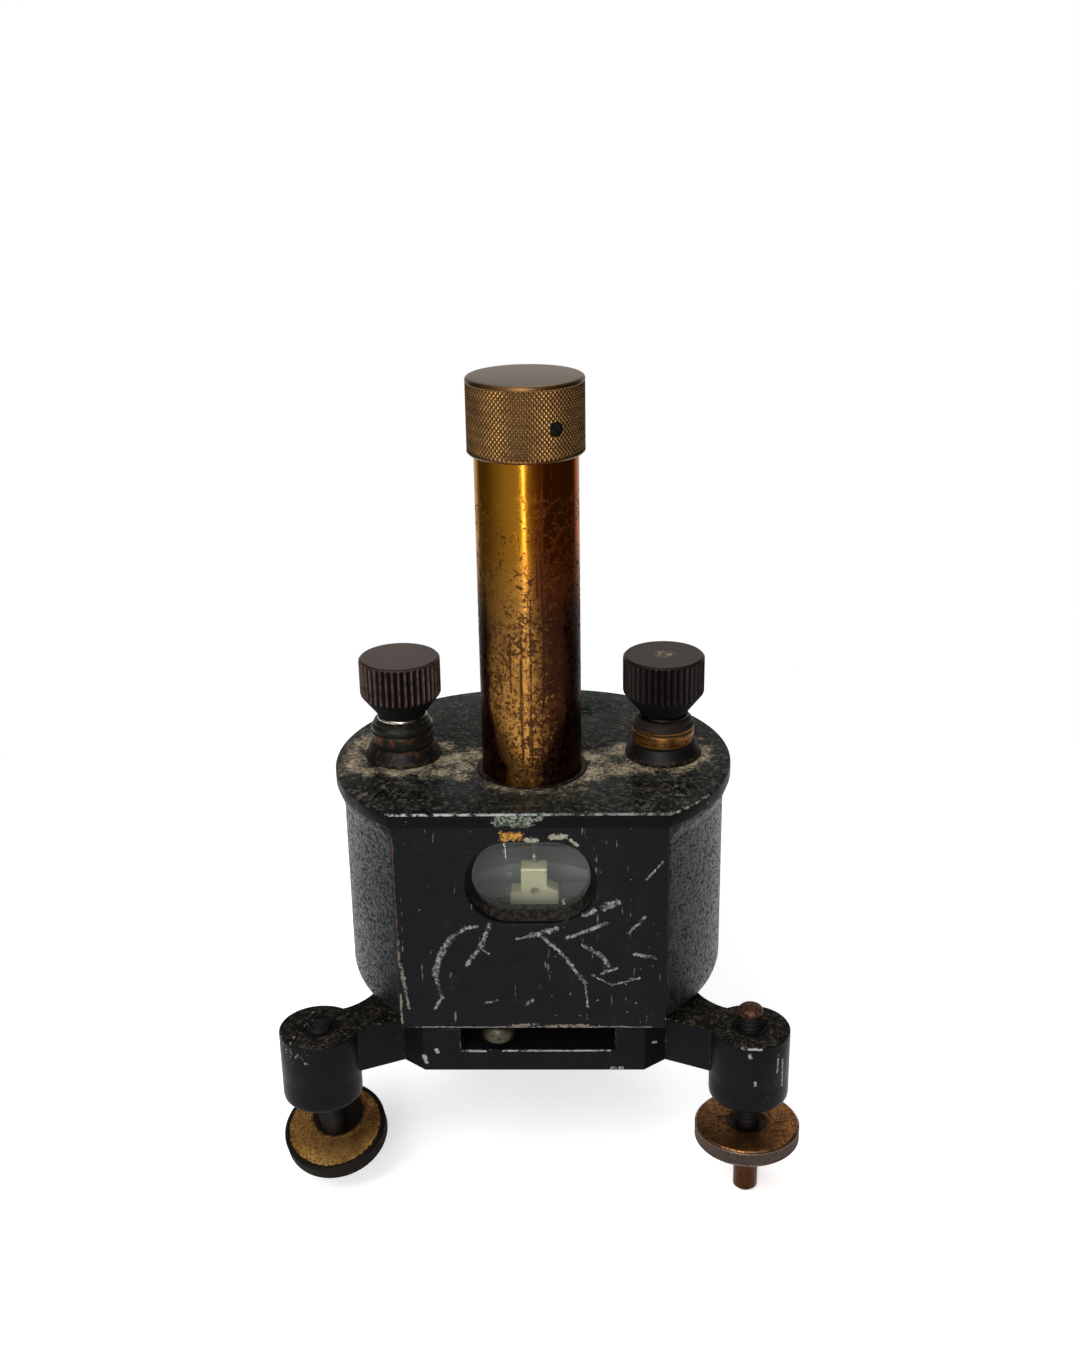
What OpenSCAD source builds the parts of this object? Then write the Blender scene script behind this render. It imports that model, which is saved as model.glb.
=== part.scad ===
// Reflecting moving-coil galvanometer on three levelling screws.
// The suspension axis is the Z axis, the table is z = 0 and the window faces -Y.

/* [Tube and torsion head] */
// Outer diameter of the suspension tube
tube_d = 25.4; // [24.8:0.1:26]
// Wall of the suspension tube
tube_wall = 1.2; // [0.8:0.1:2]
// Diameter of the knurled torsion cap
cap_d = 28.6; // [28.4:0.1:31]
// Height of the torsion cap
cap_h = 18.4; // [15:0.1:20]
// Thickness of the cap's roof
cap_roof = 3; // [2:0.1:4]
// Height of the cap's top above the table
total_h = 211.8; // [208:0.2:220]
// Direction of the cap's set screw, to the right of the front
set_screw_turn = 32; // [0:1:90]

/* [Top plate] */
// Height of the plate's top above the table
plate_top = 111; // [110:0.1:112]
// Thickness of the plate
plate_t = 4.1; // [3.5:0.1:4.5]
// Width of the plate
plate_w = 102.8; // [102:0.1:104]
// Distance from the axis to the plate's front edge
plate_front = 28.5; // [28.2:0.1:30]

/* [Case and front cover] */
// Width of the case
case_w = 99; // [98:0.1:99.4]
// Wall of the case
case_wall = 3.5; // [3:0.1:4]
// Distance from the axis to the case's front
case_front = 25.9; // [25.5:0.1:26]
// Rounding of the case's bottom edge
case_round = 6; // [3:0.5:7]
// Width of the front cover
cover_w = 67.8; // [66:0.2:68]
// Thickness of the front cover
cover_t = 1.6; // [1.2:0.1:2]
// Width of the window opening
window_w = 32.6; // [30:0.2:34]
// Height of the window opening
window_h = 22.4; // [20:0.2:24]
// Height of the window's centre above the table
window_z = 91.5; // [90:0.5:93]

/* [Base and feet] */
// Height of the base's top above the table
base_top = 49.5; // [49.4:0.1:49.8]
// Thickness of the base
base_t = 12.7; // [12:0.1:13]
// Radius of the base's round part
base_r = 42; // [41:0.5:43]
// Distance from the axis to the base's front
base_front = 27; // [26.5:0.1:27.2]
// Distance from the axis to each foot
foot_r = 61; // [58:0.5:64]
// Angle of the front arms behind the front corners
arm_angle = 25; // [20:1:30]
// Width of the arms
arm_w = 11.8; // [10:0.2:13]
// Diameter of the bosses
boss_d = 20.5; // [18:0.1:21]
// Height of the bosses
boss_h = 20; // [18:0.5:22]
// Diameter of the levelling screws
stem_d = 6.35; // [5.5:0.05:6.6]
// Diameter of the levelling discs
disc_d = 27.2; // [24:0.1:29]
// Thickness of the levelling discs
disc_t = 4.8; // [4:0.1:6]
// Lean of the bent left screw
bend_angle = 22; // [10:1:24]

/* [Terminals] */
// Distance of the terminals to the left and right of the axis
terminal_x = 33.9; // [32:0.1:35]
// Distance of the terminals behind the axis
terminal_y = 7.6; // [5:0.1:10]
// Diameter of the terminal heads
head_d = 20.9; // [18:0.1:22]

/* [Clamp] */
// Distance from the axis to the middle of the knob
lever_r = 24.6; // [24:0.1:25]
// Angle from the front to the lever at the clamped stop
lever_angle = 22; // [15:1:25]
// Diameter of the lever's knob
knob_d = 8.8; // [7:0.1:10]

/* [Hidden] */
$fn = 72;

// Fits, and a small step used to run a cut past a face
fit = 0.05;
eps = 0.1;

// Heights worked out from the driving sizes
base_bottom = base_top - base_t;
plate_under = plate_top - plate_t;
cap_bottom = total_h - cap_h;
tube_r = tube_d / 2;
tube_bottom = plate_under - 9;
tube_top = total_h - cap_roof - 0.4;

// The plan of case and plate: two circles beside each other, half their distance and how far back they lie
plan_half = 5.2;
plan_back = 7.4;
plate_r = plate_w / 2 - plan_half;
case_r = case_w / 2 - plan_half;

// Insulating bush round the tube
bush_wall = 1.2;

// Case
case_floor = 3;
case_gap_w = 60;
floor_hole_r = 24;
lug_h = 12;
plate_screws = [[-37.5, -15.5], [37.5, -15.5], [13, 35.5]];
plate_screw_r = 1.5;
plate_screw_head_r = 2.6;

// Window
bezel_rim = 1.2;
bezel_t = 2.35;
bezel_step = 1.5;
glass_t = 1.2;
frame_t = 1;
bezel_y = -case_front + fit;
glass_y = bezel_y + bezel_t + fit;
frame_y = glass_y + glass_t + fit;

// Base
block_half = 28.3;
block_corner = [33.6, -22.6];
flare_r = 16;
flare_dip = 0.15;
slot_left = -18.8;
slot_right = 20.9;
slot_z = 43.9;
cover_recess_r = 14;
cover_recess_t = 1;
journal_r = 6;
case_screw_r = 30;
case_screw_turns = [90, 210, 330];
cover_screw_r = 10.5;
cover_screw_turns = [30, 150, 270];

// Feet
boss_bottom = base_top - boss_h;
stem_r = stem_d / 2;
disc_top = 20.7;
stem_top = 55.3;
feet = [[180 + arm_angle, "left"], [-arm_angle, "right"], [90, "rear"]];
bend_z = boss_bottom - 0.8;
bend_turn = 256;
split_z = boss_bottom + 4;
bend_reach = 14.2;
bend_ball_r = stem_r + 0.08;
bend_start = 0.64;
tip_r = 2.3;

// Terminals
post_r = 2.35;
insulator_top = plate_top + 4;
collar_top = plate_top + 10.8;
ring_t = 1;
head_bottom = collar_top + ring_t + 0.1;
head_top = 138.5;
terminal_radius = norm([terminal_x, terminal_y]);
terminal_turn = atan2(terminal_y, terminal_x);
// From the axis through the right terminal to the inside of the case's wall
wall_shift = plan_half * cos(terminal_turn) + plan_back * sin(terminal_turn);
wall_reach = wall_shift - 0.3
    + sqrt(pow(wall_shift, 2) - pow(plan_half, 2) - pow(plan_back, 2) + pow(case_r - case_wall, 2));

// Moving coil
coil_bottom = 53.4;
coil_h = 18.6;
coil_half = 10.4;
coil_bar = 2;
coil_depth = 4;
core_r = 7.6;
core_z = 56.2;
core_h = 13;
pole_r = 11.6;
pole_half = 12;
pole_z = 54;
pole_h = 17;
bracket_t = 2.6;
magnet_in = 23;
magnet_out = 33;
magnet_front = 18;
magnet_screw_r = 28;
magnet_screw_turns = [30, 150];
bracket_screw_x = 11;
holder_z = coil_bottom + coil_h;
holder_w = 12.6;
holder_step = 4.4;
holder_neck = 6.8;
holder_h = 11.2;
holder_t = 5;
mirror_w = 14.7;
mirror_h = 9;
spindle_bottom = 188;
spindle_r = 1.5;
ferrule_h = 1.8;

// Clamp
plunger_r = 3;
plunger_top = coil_bottom - 0.1;
hub_flange_z = slot_z + 0.4;

// Round bar from z0 to z1
module bar(r, z0, z1) {
    translate([0, 0, z0]) cylinder(r = r, h = z1 - z0);
}

// Round tube from z0 to z1
module pipe(outer, inner, z0, z1) {
    difference() {
        bar(outer, z0, z1);
        bar(inner, z0 - eps, z1 + eps);
    }
}

// Two circles beside each other, filled between and cut flat at the front
module case_plan(r, front) {
    half = r + plan_half;
    difference() {
        union() {
            for (side = [-1, 1]) translate([side * plan_half, plan_back]) circle(r, $fn = 144);
            translate([-plan_half, plan_back - r]) square([2 * plan_half, 2 * r]);
        }
        translate([-half - 1, -front - r]) square([2 * half + 2, r]);
    }
}

// Solid on the full plan, from the right half of its section as (radius, height)
module case_form(section) {
    for (side = [-1, 1]) translate([side * plan_half, plan_back, 0])
        rotate_extrude($fn = 144) polygon(section);
    translate([-plan_half, plan_back, 0]) rotate([90, 0, 90]) linear_extrude(2 * plan_half) {
        polygon(section);
        mirror([1, 0]) polygon(section);
    }
}

// Flat-sided oval, w wide and h high
module oval(w, h) {
    translate([-(w - h) / 2, -h / 2]) square([w - h, h]);
    for (side = [-1, 1]) translate([side * (w - h) / 2, 0]) circle(h / 2);
}

// Oval plate standing upright in the window, from y to y + t
module window_plate(w, h, y, t) {
    translate([0, y + t, window_z]) rotate([90, 0, 0]) linear_extrude(t) oval(w, h);
}

// Oval hole that narrows by step on every side from y to y + t
module window_taper(w, h, y, t, step) {
    straight = w - h;
    translate([0, y, window_z]) rotate([-90, 0, 0]) {
        for (side = [-1, 1]) translate([side * straight / 2, 0, 0])
            cylinder(r1 = h / 2, r2 = h / 2 - step, h = t);
        rotate([90, 0, 90]) translate([0, 0, -straight / 2]) linear_extrude(straight)
            polygon([[-h / 2, 0], [h / 2, 0], [h / 2 - step, t], [-h / 2 + step, t]]);
    }
}

// Places its children at foot number i, upright
module at_foot(i) {
    rotate(feet[i][0]) translate([foot_r, 0, 0]) rotate(-feet[i][0]) children();
}

// Places its children on the terminal on one side
module at_terminal(side) {
    translate([side * terminal_x, terminal_y, 0]) children();
}

// Arm with a hollow fillet to the round base on the sides named in flares
module arm_plan(turn, flares) {
    centre = arm_w / 2 + flare_r - flare_dip;
    reach = sqrt(pow(base_r + flare_r - flare_dip, 2) - pow(centre, 2));
    rotate(turn) {
        translate([0, -arm_w / 2]) square([foot_r, arm_w]);
        for (side = flares) difference() {
            polygon([[0, 0], [reach, 0], [reach, side * centre]]);
            translate([reach, side * centre]) circle(flare_r);
        }
    }
}

// Round base with a flat front and chamfered front corners
module block_plan() {
    slope = (block_corner[1] + base_front) / (block_corner[0] - block_half);
    side_y = slope * (base_r - block_half) - base_front;
    intersection() {
        circle(base_r);
        polygon([
            [-block_half, -base_front], [block_half, -base_front], [base_r, side_y],
            [base_r, base_r], [-base_r, base_r], [-base_r, side_y]
        ]);
    }
}

// Lower part of a boss, a hair slimmer than the round end of the arm above it
module boss() {
    chamfer = 1.6;
    r = boss_d / 2 - 0.02;
    translate([0, 0, boss_bottom]) cylinder(r1 = r - chamfer, r2 = r, h = chamfer);
    bar(r, boss_bottom + chamfer, base_bottom + 1);
}

module base_casting() {
    countersink = 0.6;
    color("#26282a") difference() {
        union() {
            translate([0, 0, base_bottom]) linear_extrude(base_t) {
                block_plan();
                arm_plan(feet[0][0], [-1]);
                arm_plan(feet[1][0], [1]);
                arm_plan(feet[2][0], [-1, 1]);
                for (i = [0 : 2]) at_foot(i) circle(boss_d / 2);
            }
            for (i = [0 : 2]) at_foot(i) boss();
        }
        for (i = [0 : 2]) at_foot(i) {
            bar(stem_r + fit, boss_bottom - eps, base_top + eps);
            translate([0, 0, base_top - countersink])
                cylinder(r1 = stem_r + fit, r2 = stem_r + fit + countersink, h = countersink + eps);
        }
        bar(cover_recess_r + fit, base_bottom - eps, base_bottom + cover_recess_t);
        bar(journal_r + fit, base_bottom, slot_z + eps);
        translate([slot_left, -base_r, slot_z])
            cube([slot_right - slot_left, base_r + 10, base_top - slot_z + eps]);
        for (turn = case_screw_turns) rotate(turn) translate([case_screw_r, 0, 0]) {
            bar(2, base_bottom - eps, base_top + eps);
            bar(3.5, base_bottom - eps, base_bottom + 3);
        }
        for (turn = cover_screw_turns) rotate(turn) translate([cover_screw_r, 0, 0])
            bar(1.1, base_bottom, base_bottom + 5);
    }
}

module base_cover() {
    color("#b08d57") difference() {
        bar(cover_recess_r, base_bottom, base_bottom + cover_recess_t - fit);
        for (turn = cover_screw_turns) rotate(turn) translate([cover_screw_r, 0, 0])
            translate([0, 0, base_bottom - eps]) cylinder(r1 = 2.2, r2 = 1.1, h = cover_recess_t + 2 * eps);
    }
}

module base_cover_screws() {
    color("#8f8a80") for (turn = cover_screw_turns) rotate(turn) translate([cover_screw_r, 0, 0]) {
        translate([0, 0, base_bottom + 0.1]) cylinder(r1 = 1.9, r2 = 1, h = cover_recess_t - 0.15);
        bar(1, base_bottom + cover_recess_t - fit, base_bottom + 4.6);
    }
}

module case_screws() {
    color("#8f8a80") for (turn = case_screw_turns) rotate(turn) translate([case_screw_r, 0, 0]) {
        difference() {
            bar(3.3, base_bottom + 0.6, base_bottom + 2.9);
            translate([-4, -0.4, base_bottom]) cube([8, 0.8, 1.4]);
        }
        bar(1.9, base_bottom + 2.9, base_top + case_floor - 0.4);
    }
}

// Solid of the case: rounded at the bottom, with a swelling under the plate, cut flat at the front
module case_solid() {
    r = case_r - case_round;
    difference() {
        case_form(concat(
            [[0, base_top]],
            [for (a = [0 : 10 : 90]) [r + case_round * sin(a), base_top + case_round * (1 - cos(a))]],
            [[case_r, plate_under - 4.4], [case_r + 1.4, plate_under - 1], [case_r + 1.4, plate_under],
                [0, plate_under]]
        ));
        translate([-case_w, -case_front - case_w, 0]) cube([2 * case_w, case_w, plate_top]);
    }
}

module body_case() {
    color("#33363a") difference() {
        case_solid();
        difference() {
            translate([0, 0, base_top + case_floor]) linear_extrude(plate_under)
                case_plan(case_r - case_wall, case_front - case_wall);
            for (p = plate_screws) rotate(atan2(p[1], p[0]))
                translate([norm(p) - 4, -4.5, plate_under - lug_h]) cube([20, 9, lug_h + eps]);
        }
        translate([-case_gap_w / 2, -case_w, base_top + case_floor])
            cube([case_gap_w, case_w - 15, plate_under]);
        bar(floor_hole_r, base_top - eps, base_top + case_floor + eps);
        for (turn = magnet_screw_turns) rotate(turn) translate([magnet_screw_r, 0, 0]) {
            bar(1.5, base_top, base_top + case_floor + eps);
            translate([0, 0, base_top - eps]) cylinder(r1 = 2.9, r2 = 1.5, h = 1.6);
        }
        for (turn = case_screw_turns) rotate(turn) translate([case_screw_r, 0, 0])
            bar(2, base_top - eps, base_top + case_floor + eps);
        for (p = plate_screws) translate([p[0], p[1], 0])
            bar(plate_screw_r, plate_under - 9, plate_under + eps);
    }
}

module top_plate() {
    edge = 0.8;
    color("#33363a") difference() {
        difference() {
            case_form([
                [0, plate_under], [plate_r, plate_under], [plate_r, plate_top - edge],
                [plate_r - edge, plate_top], [0, plate_top]
            ]);
            translate([-plate_w, -plate_front - plate_w, 0]) cube([2 * plate_w, plate_w, plate_top + 1]);
        }
        bar(tube_r + bush_wall + fit, plate_under - eps, plate_top + eps);
        for (side = [-1, 1]) at_terminal(side) bar(4, plate_under - eps, plate_top + eps);
        for (p = plate_screws) translate([p[0], p[1], 0]) {
            bar(plate_screw_r + fit, plate_under - eps, plate_top);
            bar(plate_screw_head_r + fit, plate_top - 2, plate_top + eps);
        }
    }
}

module top_plate_screws() {
    color("#33363a") for (p = plate_screws) translate([p[0], p[1], 0]) difference() {
        union() {
            bar(plate_screw_head_r, plate_top - 1.9, plate_top - 0.2);
            bar(plate_screw_r - fit, plate_under - 8, plate_top - 1.9);
        }
        translate([-4, -0.3, plate_top - 1]) cube([8, 0.6, 2]);
    }
}

module front_cover() {
    low = base_top + 0.4;
    color("#202226") difference() {
        translate([-cover_w / 2, -case_front - cover_t, low])
            cube([cover_w, cover_t - fit, plate_under - fit - low]);
        window_plate(window_w, window_h, -case_front - cover_t - eps, cover_t + 2 * eps);
    }
}

module window_bezel() {
    color("#1b1d1f") difference() {
        window_plate(window_w + 2 * bezel_rim, window_h + 2 * bezel_rim, bezel_y, bezel_t);
        window_taper(window_w, window_h, bezel_y - eps, bezel_t + 2 * eps, bezel_step);
    }
}

module window_glass() {
    color("#8a8f8c", 0.5) window_plate(window_w, window_h, glass_y, glass_t);
}

module glass_frame() {
    rim = 2;
    color("#b08d57") difference() {
        window_plate(window_w + 2 * bezel_rim, window_h + 2 * bezel_rim, frame_y, frame_t);
        window_plate(window_w - 2 * rim, window_h - 2 * rim, frame_y - eps, frame_t + 2 * eps);
    }
}

module suspension_tube() {
    color("#b5832e") pipe(tube_r, tube_r - tube_wall, tube_bottom, tube_top);
}

module tube_bush() {
    color("#2a2422") difference() {
        union() {
            bar(tube_r + 4.8, plate_under - 5.4, plate_under - fit);
            bar(tube_r + bush_wall, plate_under - 5.4, plate_top - eps);
        }
        bar(tube_r + fit, plate_under - 6, plate_top);
    }
}

module magnet() {
    color("#6b6d70") difference() {
        pipe(magnet_out, magnet_in, base_top + case_floor + fit, pole_z + pole_h);
        translate([-magnet_out - 1, -magnet_out - 1, 0])
            cube([2 * magnet_out + 2, magnet_out + 1 - magnet_front, plate_top]);
        for (turn = magnet_screw_turns) rotate(turn) translate([magnet_screw_r, 0, 0])
            bar(1.5, base_top, base_top + 11);
    }
}

module magnet_screws() {
    color("#8f8a80") for (turn = magnet_screw_turns) rotate(turn) translate([magnet_screw_r, 0, 0]) {
        translate([0, 0, base_top + 0.1]) cylinder(r1 = 2.7, r2 = 1.4, h = 1.5);
        bar(1.4, base_top + 1.6, base_top + 10.5);
    }
}

// Places its children on the bracket's screw at distance x from the axis, with +Z pointing to the front
module at_bracket_screw(x) {
    translate([x, pole_half + bracket_t, core_z + core_h / 2]) rotate([90, 0, 0]) children();
}

module pole_piece(side) {
    inner = 6;
    color("#7d7f82") difference() {
        intersection() {
            bar(magnet_in - fit, pole_z, pole_z + pole_h);
            translate([side > 0 ? inner : -magnet_in, -pole_half, pole_z])
                cube([magnet_in - inner, 2 * pole_half, pole_h]);
        }
        bar(pole_r, pole_z - eps, pole_z + pole_h + eps);
        at_bracket_screw(side * bracket_screw_x) cylinder(r = 1.25, h = bracket_t + 6);
    }
}

module iron_core() {
    color("#8d8f92") difference() {
        bar(core_r, core_z, core_z + core_h);
        at_bracket_screw(0) cylinder(r = 1.25, h = pole_half + bracket_t - 2);
    }
}

module core_bracket() {
    middle = core_z + core_h / 2;
    plate_y = pole_half + fit;
    half = bracket_screw_x + 3.5;
    color("#b08d57") difference() {
        union() {
            translate([-half, plate_y, middle - 4.5]) cube([2 * half, bracket_t - fit, 9]);
            translate([-3, core_r - 1, middle - 2.5]) cube([6, plate_y - core_r + 2, 5]);
        }
        bar(core_r + fit, core_z, core_z + core_h);
        for (x = [-bracket_screw_x, 0, bracket_screw_x]) at_bracket_screw(x)
            translate([0, 0, -eps]) cylinder(r = 1.25, h = pole_half + bracket_t);
    }
}

module bracket_screws() {
    color("#8f8a80") for (x = [-bracket_screw_x, 0, bracket_screw_x]) at_bracket_screw(x) {
        difference() {
            translate([0, 0, -1.5]) cylinder(r = 2.1, h = 1.5 - fit);
            translate([-2.5, -0.3, -2]) cube([5, 0.6, 1.1]);
        }
        translate([0, 0, -fit]) cylinder(r = 1.2, h = x == 0 ? pole_half : bracket_t + 5);
    }
}

module torsion_cap() {
    edge = 0.8;
    r = cap_d / 2;
    color("#8a6236") difference() {
        union() {
            translate([0, 0, cap_bottom]) cylinder(r1 = r - edge, r2 = r, h = edge);
            bar(r, cap_bottom + edge, total_h - 0.5);
            translate([0, 0, total_h - 0.5]) cylinder(r1 = r, r2 = r - 0.5, h = 0.5);
        }
        bar(tube_r + fit, cap_bottom - eps, total_h - cap_roof);
        rotate(set_screw_turn - 90) translate([tube_r - 1, 0, cap_bottom + 7.6]) rotate([0, 90, 0])
            cylinder(r = 1.8, h = 6);
    }
}

module cap_set_screw() {
    color("#3a3632") rotate(set_screw_turn - 90) translate([tube_r + 2 * fit, 0, cap_bottom + 7.6])
        rotate([0, 90, 0]) cylinder(r = 1.75, h = 0.9);
}

module torsion_spindle() {
    roof = total_h - cap_roof;
    color("#b08d57") {
        bar(5, roof - 4.8, roof - fit);
        bar(spindle_r, spindle_bottom, roof - 4.8);
    }
}

module suspension_strip() {
    low = holder_z + holder_h + ferrule_h;
    color("#c89b5a") translate([-0.25, -0.06, low + fit])
        cube([0.5, 0.12, spindle_bottom - low - 2 * fit]);
}

module strip_ferrule() {
    low = holder_z + holder_h;
    color("#c9c5b8") bar(0.9, low, low + ferrule_h);
}

module mirror_holder() {
    front = -4;
    color("#d9cfa8") difference() {
        union() {
            translate([-holder_w / 2, front, holder_z]) cube([holder_w, holder_t, holder_step]);
            translate([-holder_neck / 2, front, holder_z]) cube([holder_neck, holder_t, holder_h]);
        }
        translate([0.3, front - 1, holder_z + holder_step]) rotate([-90, 0, 0]) cylinder(r = 1, h = 9);
    }
}

module mirror_plate() {
    color("#a9b0b2", 0.6) translate([-mirror_w / 2, -5.05, holder_z + holder_h - mirror_h - 0.6])
        cube([mirror_w, 1, mirror_h]);
}

// Upright rectangular ring around the core, grown by side on every side
module coil_ring(grow, bar_t, depth) {
    translate([0, depth / 2, 0]) rotate([90, 0, 0]) linear_extrude(depth) difference() {
        translate([-coil_half - grow, coil_bottom - grow])
            square([2 * (coil_half + grow), coil_h + 2 * grow]);
        translate([-coil_half - grow + bar_t, coil_bottom - grow + bar_t])
            square([2 * (coil_half + grow - bar_t), coil_h + 2 * (grow - bar_t)]);
    }
}

module coil_former() {
    color("#b9bcc0") coil_ring(-1.3, 0.7, coil_depth);
}

module coil_winding() {
    color("#a5642c") coil_ring(0, 1.25, coil_depth - 0.4);
}

module lower_ligament() {
    color("#c89b5a") bar(0.25, 46 + fit, coil_bottom - fit);
}

module ligament_post() {
    color("#b08d57") bar(0.9, base_bottom + cover_recess_t, 46);
}

// Places its children along the lever, with +X pointing out of the front
module along_lever() {
    rotate(-90 - lever_angle) children();
}

module clamp_lever() {
    color("#9a958a") difference() {
        union() {
            bar(journal_r, base_bottom + cover_recess_t + 0.1, hub_flange_z + eps);
            bar(9, hub_flange_z, hub_flange_z + 2.8);
            along_lever() translate([0, -2.5, hub_flange_z + 0.2]) cube([lever_r - eps, 5, 2.2]);
        }
        bar(plunger_r + fit, base_bottom, base_top);
    }
}

module lever_knob() {
    low = hub_flange_z;
    high = hub_flange_z + 5;
    round = 2;
    r = knob_d / 2;
    color("#b9b4a6") along_lever() translate([lever_r, 0, 0]) difference() {
        rotate_extrude() {
            translate([0, low]) square([r - round, high - low]);
            translate([0, low + round]) square([r, high - low - 2 * round]);
            for (z = [low + round, high - round]) translate([r - round, z]) circle(round);
        }
        translate([-r - 1, -2.55, low + 0.15]) cube([r + 1, 5.1, 2.3]);
    }
}

module clamp_plunger() {
    color("#b08d57") difference() {
        union() {
            bar(plunger_r, base_bottom + cover_recess_t + 2.5, plunger_top);
            bar(plunger_r + 1.4, plunger_top - 1.5, plunger_top);
        }
        bar(1.3, base_bottom, plunger_top + eps);
    }
}

// Brass post with its collar, turned from one bar
module terminal_post(side) {
    low = insulator_top + fit;
    color("#a87c38") at_terminal(side) {
        bar(post_r, tube_bottom, head_top - 8);
        rotate_extrude() polygon([
            [0, low], [8, low], [8, low + 3.2], [7.6, low + 3.6], [8, low + 4],
            [8, low + 5], [7.3, low + 5.7], [7.3, collar_top - 0.5], [6.6, collar_top], [0, collar_top]
        ]);
    }
}

module terminal_insulator(side) {
    color("#1f1d1c") at_terminal(side) difference() {
        rotate_extrude() polygon([
            [0, plate_under + 0.2], [4 - fit, plate_under + 0.2],
            [4 - fit, plate_top + fit], [9.9, plate_top + fit],
            [9.9, plate_top + 0.8], [9.3, plate_top + 2], [8.4, insulator_top], [0, insulator_top]
        ]);
        bar(post_r + fit, plate_under, insulator_top + eps);
    }
}

module terminal_underwashers() {
    color("#5a2f20") for (side = [-1, 1]) at_terminal(side)
        pipe(7, post_r + fit, plate_under - 2, plate_under - fit);
}

module terminal_nuts() {
    color("#a87c38") for (side = [-1, 1]) at_terminal(side) difference() {
        translate([0, 0, plate_under - 5.2]) cylinder(r = 4.75, h = 3.15, $fn = 6);
        bar(post_r + fit, plate_under - 6, plate_under);
    }
}

module clamp_ring(side) {
    color("#c9c5b8") at_terminal(side) pipe(6.5, post_r + fit, collar_top + fit, collar_top + fit + ring_t);
}

module terminal_head(side) {
    r = head_d / 2;
    color("#3d2a24") at_terminal(side) difference() {
        rotate_extrude() polygon([
            [0, head_bottom], [6, head_bottom], [6.4, head_bottom + 0.6], [r, head_bottom + 5.8],
            [r, head_top - 0.6], [r - 0.6, head_top], [0, head_top]
        ]);
        bar(post_r + fit, head_bottom - eps, head_top - 3.5);
    }
}

// Stiff lead at the foot of the terminals, from radius r0 to radius r1
module lead_wire(turn, r0, r1) {
    color("#b5652f") rotate(turn) translate([r0, 0, tube_bottom + 1.4]) rotate([0, 90, 0])
        cylinder(r = 0.5, h = r1 - r0);
}

module upright_stem() {
    color("#8a5a2e") {
        cylinder(r1 = tip_r, r2 = stem_r, h = stem_r - tip_r);
        bar(stem_r, stem_r - tip_r, stem_top - 0.8);
        translate([0, 0, stem_top - 0.8]) cylinder(r1 = stem_r, r2 = stem_r - 0.8, h = 0.8);
    }
}

// Places its children in the frame of the bent screw's lower part: origin at the bend, +Z back up its axis
module along_bend() {
    translate([0, 0, bend_z]) rotate([0, bend_angle, bend_turn]) children();
}

// Length of the bent part, so that the edge of its tip stands on the table
bent_length = (bend_z - tip_r * sin(bend_angle)) / cos(bend_angle);

// Straight upper part of the bent screw, from the split inside the boss to its top
module bent_screw_top() {
    color("#8a5a2e") {
        bar(stem_r, split_z + fit, base_top - 0.6);
        translate([0, 0, base_top - 0.6]) cylinder(r1 = stem_r, r2 = stem_r - 1, h = 1);
    }
}

// Bend and foot of the bent screw
module bent_screw_foot() {
    color("#8a5a2e") {
        bar(stem_r, bend_z + bend_start, split_z);
        translate([0, 0, bend_z]) sphere(r = bend_ball_r);
        along_bend() {
            translate([0, 0, -bent_length]) cylinder(r1 = tip_r, r2 = stem_r, h = stem_r - tip_r);
            bar(stem_r, -bent_length + stem_r - tip_r, -bend_start);
        }
    }
}

// Levelling disc whose upper face lies at z = 0
module disc() {
    edge = 0.7;
    r = disc_d / 2;
    color("#8f6330") difference() {
        union() {
            translate([0, 0, -edge]) cylinder(r1 = r, r2 = r - edge, h = edge);
            bar(r, -disc_t + edge, -edge);
            translate([0, 0, -disc_t]) cylinder(r1 = r - edge, r2 = r, h = edge);
        }
        bar(stem_r + fit, -disc_t - eps, eps);
    }
}

base_casting();
base_cover();
base_cover_screws();
case_screws();
body_case();
top_plate();
top_plate_screws();
front_cover();
window_bezel();
window_glass();
glass_frame();
suspension_tube();
tube_bush();
magnet();
magnet_screws();
pole_piece(-1);  // pole_piece_left
pole_piece(1);  // pole_piece_right
iron_core();
core_bracket();
bracket_screws();
torsion_cap();
cap_set_screw();
torsion_spindle();
suspension_strip();
strip_ferrule();
mirror_holder();
mirror_plate();  // mirror
coil_former();
coil_winding();
lower_ligament();
ligament_post();
clamp_lever();
lever_knob();
clamp_plunger();
terminal_post(-1);  // terminal_post_left
terminal_post(1);  // terminal_post_right
terminal_insulator(-1);  // terminal_insulator_left
terminal_insulator(1);  // terminal_insulator_right
terminal_nuts();
terminal_underwashers();
clamp_ring(-1);  // clamp_ring_left
clamp_ring(1);  // clamp_ring_right
terminal_head(-1);  // terminal_head_left
terminal_head(1);  // terminal_head_right
lead_wire(180 - terminal_turn, tube_r + fit, terminal_radius - post_r - fit);  // lead_wire_left
lead_wire(terminal_turn, terminal_radius + post_r + fit, wall_reach);  // lead_wire_right
at_foot(0) bent_screw_top();  // levelling_stem_left
at_foot(0) bent_screw_foot();  // levelling_foot_left
at_foot(1) upright_stem();  // levelling_stem_right
at_foot(2) upright_stem();  // levelling_stem_rear
at_foot(0) along_bend() translate([0, 0, -bend_reach]) disc();  // levelling_disc_left
at_foot(1) translate([0, 0, disc_top]) disc();  // levelling_disc_right
at_foot(2) translate([0, 0, disc_top]) disc();  // levelling_disc_rear
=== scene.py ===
"""Looks of a reflecting galvanometer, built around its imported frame. Sizes here are in millimetres."""

import math

import bmesh
import bpy
import numpy as np
from mathutils import Matrix, Vector
from mathutils.geometry import delaunay_2d_cdt


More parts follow.
